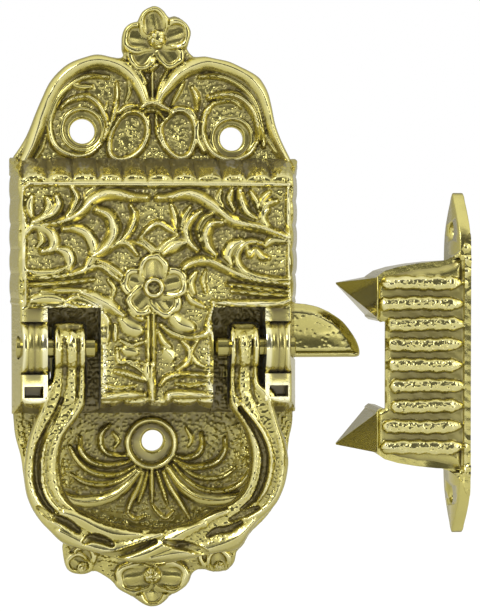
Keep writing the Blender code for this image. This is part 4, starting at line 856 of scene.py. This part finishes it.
bailStrokes = (
    ("round", 1.3, 0.55, -184, -35, -184, -67, -184, -98, -192, -124, -199, -150, -205, -172),
    ("round", 1.7, 0.4, -156, -43, -156, -76, -156, -117, -156, -165),
    ("round", 1.5, 0.5, -136, -35, -136, -94, -136, -157, -145, -187, -164, -213, -182, -242, -192,
     -270, -193, -298, -190, -325, -177, -349, -153, -368),
    ("sharp", 1, 0.7, -179, -178, -199, -220, -210, -257, -214, -292, -210, -327, -197, -353, -179, -372),
    ("sharp", 1.5, 0.7, -206, -163, -212, -187, -225, -216, -234, -246, -240, -275, -240, -301, -234,
     -331, -219, -359, -199, -381, -175, -403, -142, -423),
    ("cut", 1.1, 1.3, -175, -165, -188, -196, -205, -227, -217, -257, -221, -290, -219, -324, -208,
     -353, -193, -372),
    ("cut", 0.8, 0.6, -171, -54, -169, -94, -171, -141, -177, -166),
    ("cut", 0.6, 0.5, -145, -54, -145, -104, -147, -161),
    ("round", 1.5, 0.5, 139, -35, 137, -94, 137, -161, 150, -191, 165, -213, 176, -239, 182, -264, 180,
     -290, 176, -316, 165, -342, 143, -360),
    ("round", 1.7, 0.4, 159, -48, 159, -94, 159, -154, 172, -183, 185, -205),
    ("round", 1.3, 0.55, 183, -35, 183, -76, 183, -131, 198, -154, 211, -172),
    ("sharp", 1.1, 0.8, 150, -166, 167, -189, 187, -213, 204, -242, 213, -274, 211, -305, 202, -335,
     187, -357),
    ("sharp", 1.3, 0.6, 206, -165, 215, -191, 224, -220, 232, -250, 235, -279, 233, -309, 226, -338,
     211, -360, 195, -375, 169, -390),
    ("cut", 1.1, 1.3, 154, -185, 172, -209, 189, -237, 200, -268, 200, -298, 193, -327, 180, -353, 159,
     -372),
    ("cut", 0.8, 0.7, 148, -57, 150, -98, 148, -141, 154, -168),
    ("cut", 0.6, 0.6, 176, -57, 176, -104, 178, -154, 187, -176),
    ("round", 2.3, 0.8, -171, -375, -142, -386, -108, -405, -75, -416, -35, -416),
    ("round", 2.3, 0.9, -179, -409, -145, -427, -108, -442, -68, -444, -27, -429, 6, -416),
    ("round", 2.3, 0.9, -86, -464, -49, -460, -12, -449, 21, -431, 50, -412, 87, -397),
    ("round", 2.1, 0.9, -12, -460, 28, -453, 73, -449, 121, -436, 154, -420, 180, -394),
    ("round", 1.7, 0.7, 25, -409, 62, -397, 98, -385, 128, -375),
    ("cut", 1.1, 1.1, -219, -364, -197, -381, -169, -390, -144, -409),
    ("cut", 1.3, 1.1, -134, -429, -120, -421, -101, -425, -84, -434),
    ("cut", 1.3, 1.2, -108, -453, -75, -453, -42, -442, -5, -429),
    ("cut", 1.3, 1.2, 15, -431, 39, -436, 73, -445, 91, -451),
    ("cut", 1.1, 1.1, 95, -421, 111, -412, 132, -409, 156, -397),
    ("cut", 1.1, 1.1, 137, -392, 161, -381, 187, -370),
)

bailLine = smoothLine(tenths(bailEdge), 3, closed=True)


def bailSides(sign):
    # the carved front for 1, the plain back for -1
    def heightAt(x, z):
        b = bailMake
        away = np.clip(fromEdge(x, z, bailLine)[0] / b["edge"], 0, 1)
        body = b["thickness"] * np.sqrt(1 - (1 - away) ** 2)
        up = z - caseMake["axisHeight"]
        eye = np.sqrt(np.clip(b["eye"] ** 2 - up ** 2, 0, None)) - 0.15
        body = np.where(eye > 0.1, np.maximum(body, eye * np.clip(away * 2.6, 0, 1) ** 0.5), body)
        if sign < 0:
            return b["middle"] - np.minimum(body, b["backReach"])
        raised, sunk = carve(x, z, bailStrokes, 1.25, 1.1)
        rough = 0.16 * pebbles(x, z, 0.55, 3, 0.75) * (raised < 0.45)
        return b["middle"] + body + (raised - 0.25 - sunk * 0.8 + rough) * np.clip(away * 1.5, 0, 1)
    return heightAt


bail = reliefSolid("bail_pull", bailLine, bailMake["step"], bailSides(1), bailSides(-1))
cutWith(bail, pinHoles(25, 10))
smooth(bail, 60)
place(bail, "bail", bailBrass, ["bail"])
print("bail_pull carved:", len(bail.data.polygons), "faces")

beakMake = {
    "step": 0.16, "root": 23.8, "foot": -9.4, "front": 6.2, "back": 3.4,
    "bevel": 1.7, "footBevel": 0.5, "bevelDrop": 1.25,
}
beakEdge = smoothLine([(23.8, 0.8), (27.0, 0.8), (31.1, 0.1), (35.1, -2.1), (37.2, -4.4), (38.6, -6.7),
                       (39.05, -8.6), (38.5, -9.35), (36.0, -9.4), (30.0, -9.4), (23.8, -9.4)], 4)


def beakHeight(x, z):
    b = beakMake
    away = fromEdge(x, z, beakEdge)[0]
    bevel = np.where(z > b["foot"] + 0.9, b["bevel"], b["footBevel"])
    fall = (1 - np.clip(away / bevel, 0, 1)) * np.where(x < 24.6, 0.2, 1)  # hardly any at the root
    hollow = 0.35 * np.exp(-((x - 30) / 4.5) ** 2 - ((z + 5.2) / 2.6) ** 2) * np.clip(x - b["root"], 0, 1)
    return b["front"] - b["bevelDrop"] * fall ** 1.3 - hollow + 0.05 * pebbles(x, z, 0.7, 12, 0.3)


beak = reliefSolid("beak", beakEdge, beakMake["step"], beakHeight, beakMake["back"])
boltCarved = copyOf("bolt", "bolt_lever")
cutWith(boltCarved, [block((24.0, 41), (4.0, 9), (-11, 3))])  # room for the carved beak
for piece in (boltCarved, beak):
    smooth(piece, 50)
    place(piece, "bolt", boltBrass, ["bolt"] if piece is boltCarved else [])
print("bolt_lever and beak carved:", len(boltCarved.data.polygons) + len(beak.data.polygons), "faces")

strikeMake = {
    "step": 0.18, "middle": -10.5, "near": 15.3, "back": 13.9,
    "ribs": 9, "pitch": 3.82, "ribHalf": 1.35, "ribRise": 1.0,
    "valley": 0.35,    # depth of the ground between the ribs
    "shoulder": 15.5,  # from the middle to where the hood's edge is rounded more
    "faceEnd": 56.6, "flange": 57.0,
}
hoodLine = ((58.3, 24.8), (57.7, 24.2), (57.2, 23.2), (56.8, 22.0), (55.9, 20.9), (54.3, 19.7), (52.0, 19.1),
            (48.4, 18.8), (44.9, 18.1), (42.4, 17.3), (40.9, 16.2), (40.9, 8.8), (41.8, 8.2), (42.4, 8.0))
strikeEdge = np.array([(x, strikeMake["middle"] + z) for x, z in hoodLine]
                      + [(x, strikeMake["middle"] - z) for x, z in reversed(hoodLine)])


def strikeHeight(x, z):
    s = strikeMake
    up = z - s["middle"]
    out = np.abs(up)
    away = fromEdge(x, z, strikeEdge)[0]
    hood = np.clip(away / np.where(out > s["shoulder"], 2.6, 0.7), 0, 1)
    drop = np.where(out > s["shoulder"], 1.9, 0.5) * (1 - hood) ** 1.6
    face = s["near"] - drop * (x < s["faceEnd"])
    height = face - s["valley"]
    for index in range(s["ribs"]):  # each rib starts, ends, swells and wanders a little by itself
        line = (index - (s["ribs"] - 1) / 2) * s["pitch"]
        start = (41.3 if abs(line) > 9.5 else 42.7) + 0.5 * math.sin(7.1 * index)
        end = 57.3 + 0.35 * math.sin(4.3 * index + 1)
        wander = 0.10 * np.sin(x / 2.3 + index * 1.7)
        taper = np.clip((end - x) / 2.4, 0, 1) ** 0.6 * np.clip((x - start) / 0.9, 0, 1) ** 0.5
        half = s["ribHalf"] * (1 + 0.07 * np.sin(2.1 * x + 3 * index))
        form = np.sqrt(np.clip(taper ** 2 - ((up - line - wander) / half) ** 2, 0, 1))
        crest = 0.15 * pebbles(x, z, 0.55, 20 + index, 0.8) * (np.abs(up - line) < 0.95)
        height = np.maximum(height, face - s["valley"] + s["ribRise"] * form + crest * (form > 0.4))
    # the rim next to the flange, lumpy towards its ends, and the fillet that leads up to it
    lumps = np.clip(np.minimum(out - 13, 24.5 - out) / 3, 0, 1)
    rim = s["near"] + 0.25 * np.clip((x - s["faceEnd"]) / 0.5, 0, 1)
    rim = rim + 0.40 * lumps * pebbles(x, z, 1.5, 41, 0.8)
    rim = rim - 0.5 * np.clip((out - 22.8) / 1.8, 0, 1)
    fillet = rim - 1.7 * np.sqrt(np.clip(1 - (1 - np.clip((s["flange"] - x) / 2.6, 0, 1)) ** 2, 0, 1))
    height = np.maximum(height, np.where((x > s["flange"]) | (out > 20.0), rim, fillet))
    return height + 0.03 * unevenness(x, z, 2.0, 11)


strikeFace = reliefSolid("strike_face", strikeEdge, strikeMake["step"], strikeHeight, strikeMake["back"])
strikeCarved = copyOf("strike", "strike_casting")
cutWith(strikeCarved, [block((40.85, 57.5), (14.1, 19), (-30.0, 9.0))])  # room for the carved face
for piece in (strikeCarved, strikeFace):
    smooth(piece, 45)
    place(piece, "case", strikeBrass, ["strike"] if piece is strikeCarved else [])
print("strike carved:", len(strikeCarved.data.polygons) + len(strikeFace.data.polygons), "faces")

# solids that keep their shape and only take a finish
for finish, names in ((pinBrass, ("pivot_pin_left", "pivot_pin_right")), (sheetBrass, ("back_cover",)),
                      (steel, ("bolt_stud", "bolt_spring", "cover_screw_1", "cover_screw_2", "cover_screw_3",
                               "cover_screw_4"))):
    for name in names:
        nodes[name].data.materials.clear()
        nodes[name].data.materials.append(finish)
print("plain solids finished")

studio = {
    "aim": (0.0167, 0.0, 0.0002), "azimuth": -5.8, "elevation": 1.5, "distance": 0.40, "lens": 123.0,
    "front": 0.14, "sides": 1.22, "behind": 0.6,  # what the brass mirrors from each side
    "floorHeight": -0.0590, "floorHalf": 1.2, "floorColour": (0.8, 0.8, 0.79), "floorWhite": 0.92,
    "lampAim": (0.005, -0.005, 0.0),
    "lamps": (("key", (-0.30, -0.42, 0.42), (0.21, 0.21), 8.5),  # place, size, strength
              ("fill", (0.45, -0.40, 0.18), (0.22, 0.40), 3.0),
              ("low", (-0.10, -0.45, -0.05), (0.40, 0.06), 2.0)),
}


def whiteToCamera(name, colour, share):
    # a pale surface that the camera sees as nearly plain white, with a trace of its shadows
    material = bpy.data.materials.new(name)
    material.use_nodes = True
    tree = material.node_tree
    surface = tree.nodes["Principled BSDF"]
    surface.inputs["Base Color"].default_value = (*colour, 1)
    surface.inputs["Roughness"].default_value = 0.9
    path = tree.nodes.new("ShaderNodeLightPath")
    amount = tree.nodes.new("ShaderNodeMath")
    amount.operation = "MULTIPLY"
    tree.links.new(path.outputs["Is Camera Ray"], amount.inputs[0])
    amount.inputs[1].default_value = share
    glow = tree.nodes.new("ShaderNodeEmission")
    glow.inputs["Strength"].default_value = 1.06
    mix = tree.nodes.new("ShaderNodeMixShader")
    tree.links.new(amount.outputs[0], mix.inputs["Fac"])
    tree.links.new(surface.outputs[0], mix.inputs[1])
    tree.links.new(glow.outputs[0], mix.inputs[2])
    tree.links.new(mix.outputs[0], tree.nodes["Material Output"].inputs["Surface"])
    return material


def plane(name, half, height, material):
    corners = [(-half, -half, height), (half, -half, height), (half, half, height), (-half, half, height)]
    mesh = bpy.data.meshes.new(name)
    mesh.from_pydata(corners, [], [(0, 1, 2, 3)])
    mesh.materials.append(material)
    made = bpy.data.objects.new(name, mesh)
    bpy.context.scene.collection.objects.link(made)


plane("floor", studio["floorHalf"], studio["floorHeight"],
      whiteToCamera("pale floor", studio["floorColour"], studio["floorWhite"]))

for name, spot, size, strength in studio["lamps"]:
    # strength is what a mirror would show of the lamp; the watts follow from its area
    light = bpy.data.lights.new(name, "AREA")
    light.shape, light.size, light.size_y = "RECTANGLE", size[0], size[1]
    light.energy = strength * math.pi * size[0] * size[1]
    made = bpy.data.objects.new(name, light)
    made.location = spot
    made.rotation_euler = (Vector(studio["lampAim"]) - Vector(spot)).to_track_quat("-Z", "Y").to_euler()
    bpy.context.scene.collection.objects.link(made)

world = bpy.data.worlds.new("studio")
bpy.context.scene.world = world
world.use_nodes = True
tree = world.node_tree
# what the brass mirrors: darker towards the viewer, light at the sides, half light behind
where = tree.nodes.new("ShaderNodeTexCoord")
split = tree.nodes.new("ShaderNodeSeparateXYZ")
span = tree.nodes.new("ShaderNodeMapRange")
span.inputs["From Min"].default_value = -1
shades = tree.nodes.new("ShaderNodeValToRGB")
for end, level in zip(shades.color_ramp.elements, (studio["front"], studio["behind"])):
    end.color = (level,) * 3 + (1,)
for spot, level in ((0.10, studio["front"]), (0.30, studio["sides"]), (0.48, studio["sides"])):
    shades.color_ramp.elements.new(spot).color = (level,) * 3 + (1,)
path = tree.nodes.new("ShaderNodeLightPath")
mix = tree.nodes.new("ShaderNodeMix")
mix.data_type = "RGBA"
mix.inputs["B"].default_value = (1, 1, 1, 1)  # plain white to the camera
tree.links.new(where.outputs["Generated"], split.inputs[0])
tree.links.new(split.outputs["Y"], span.inputs["Value"])
tree.links.new(span.outputs["Result"], shades.inputs["Fac"])
tree.links.new(shades.outputs["Color"], mix.inputs["A"])
tree.links.new(path.outputs["Is Camera Ray"], mix.inputs["Factor"])
tree.links.new(mix.outputs["Result"], tree.nodes["Background"].inputs["Color"])

camera = bpy.data.objects.new("camera", bpy.data.cameras.new("camera"))
bpy.context.scene.collection.objects.link(camera)
azimuth, elevation = math.radians(studio["azimuth"]), math.radians(studio["elevation"])
level = math.cos(elevation)
back = Vector((math.sin(azimuth) * level, -math.cos(azimuth) * level, math.sin(elevation)))
camera.location = Vector(studio["aim"]) + back * studio["distance"]
camera.rotation_euler = (-back).to_track_quat("-Z", "Y").to_euler()
camera.data.lens = studio["lens"]
camera.data.sensor_width = 36.0
camera.data.clip_start = 0.01
bpy.context.scene.camera = camera
bpy.context.scene.view_settings.view_transform = "Standard"
print("studio set")
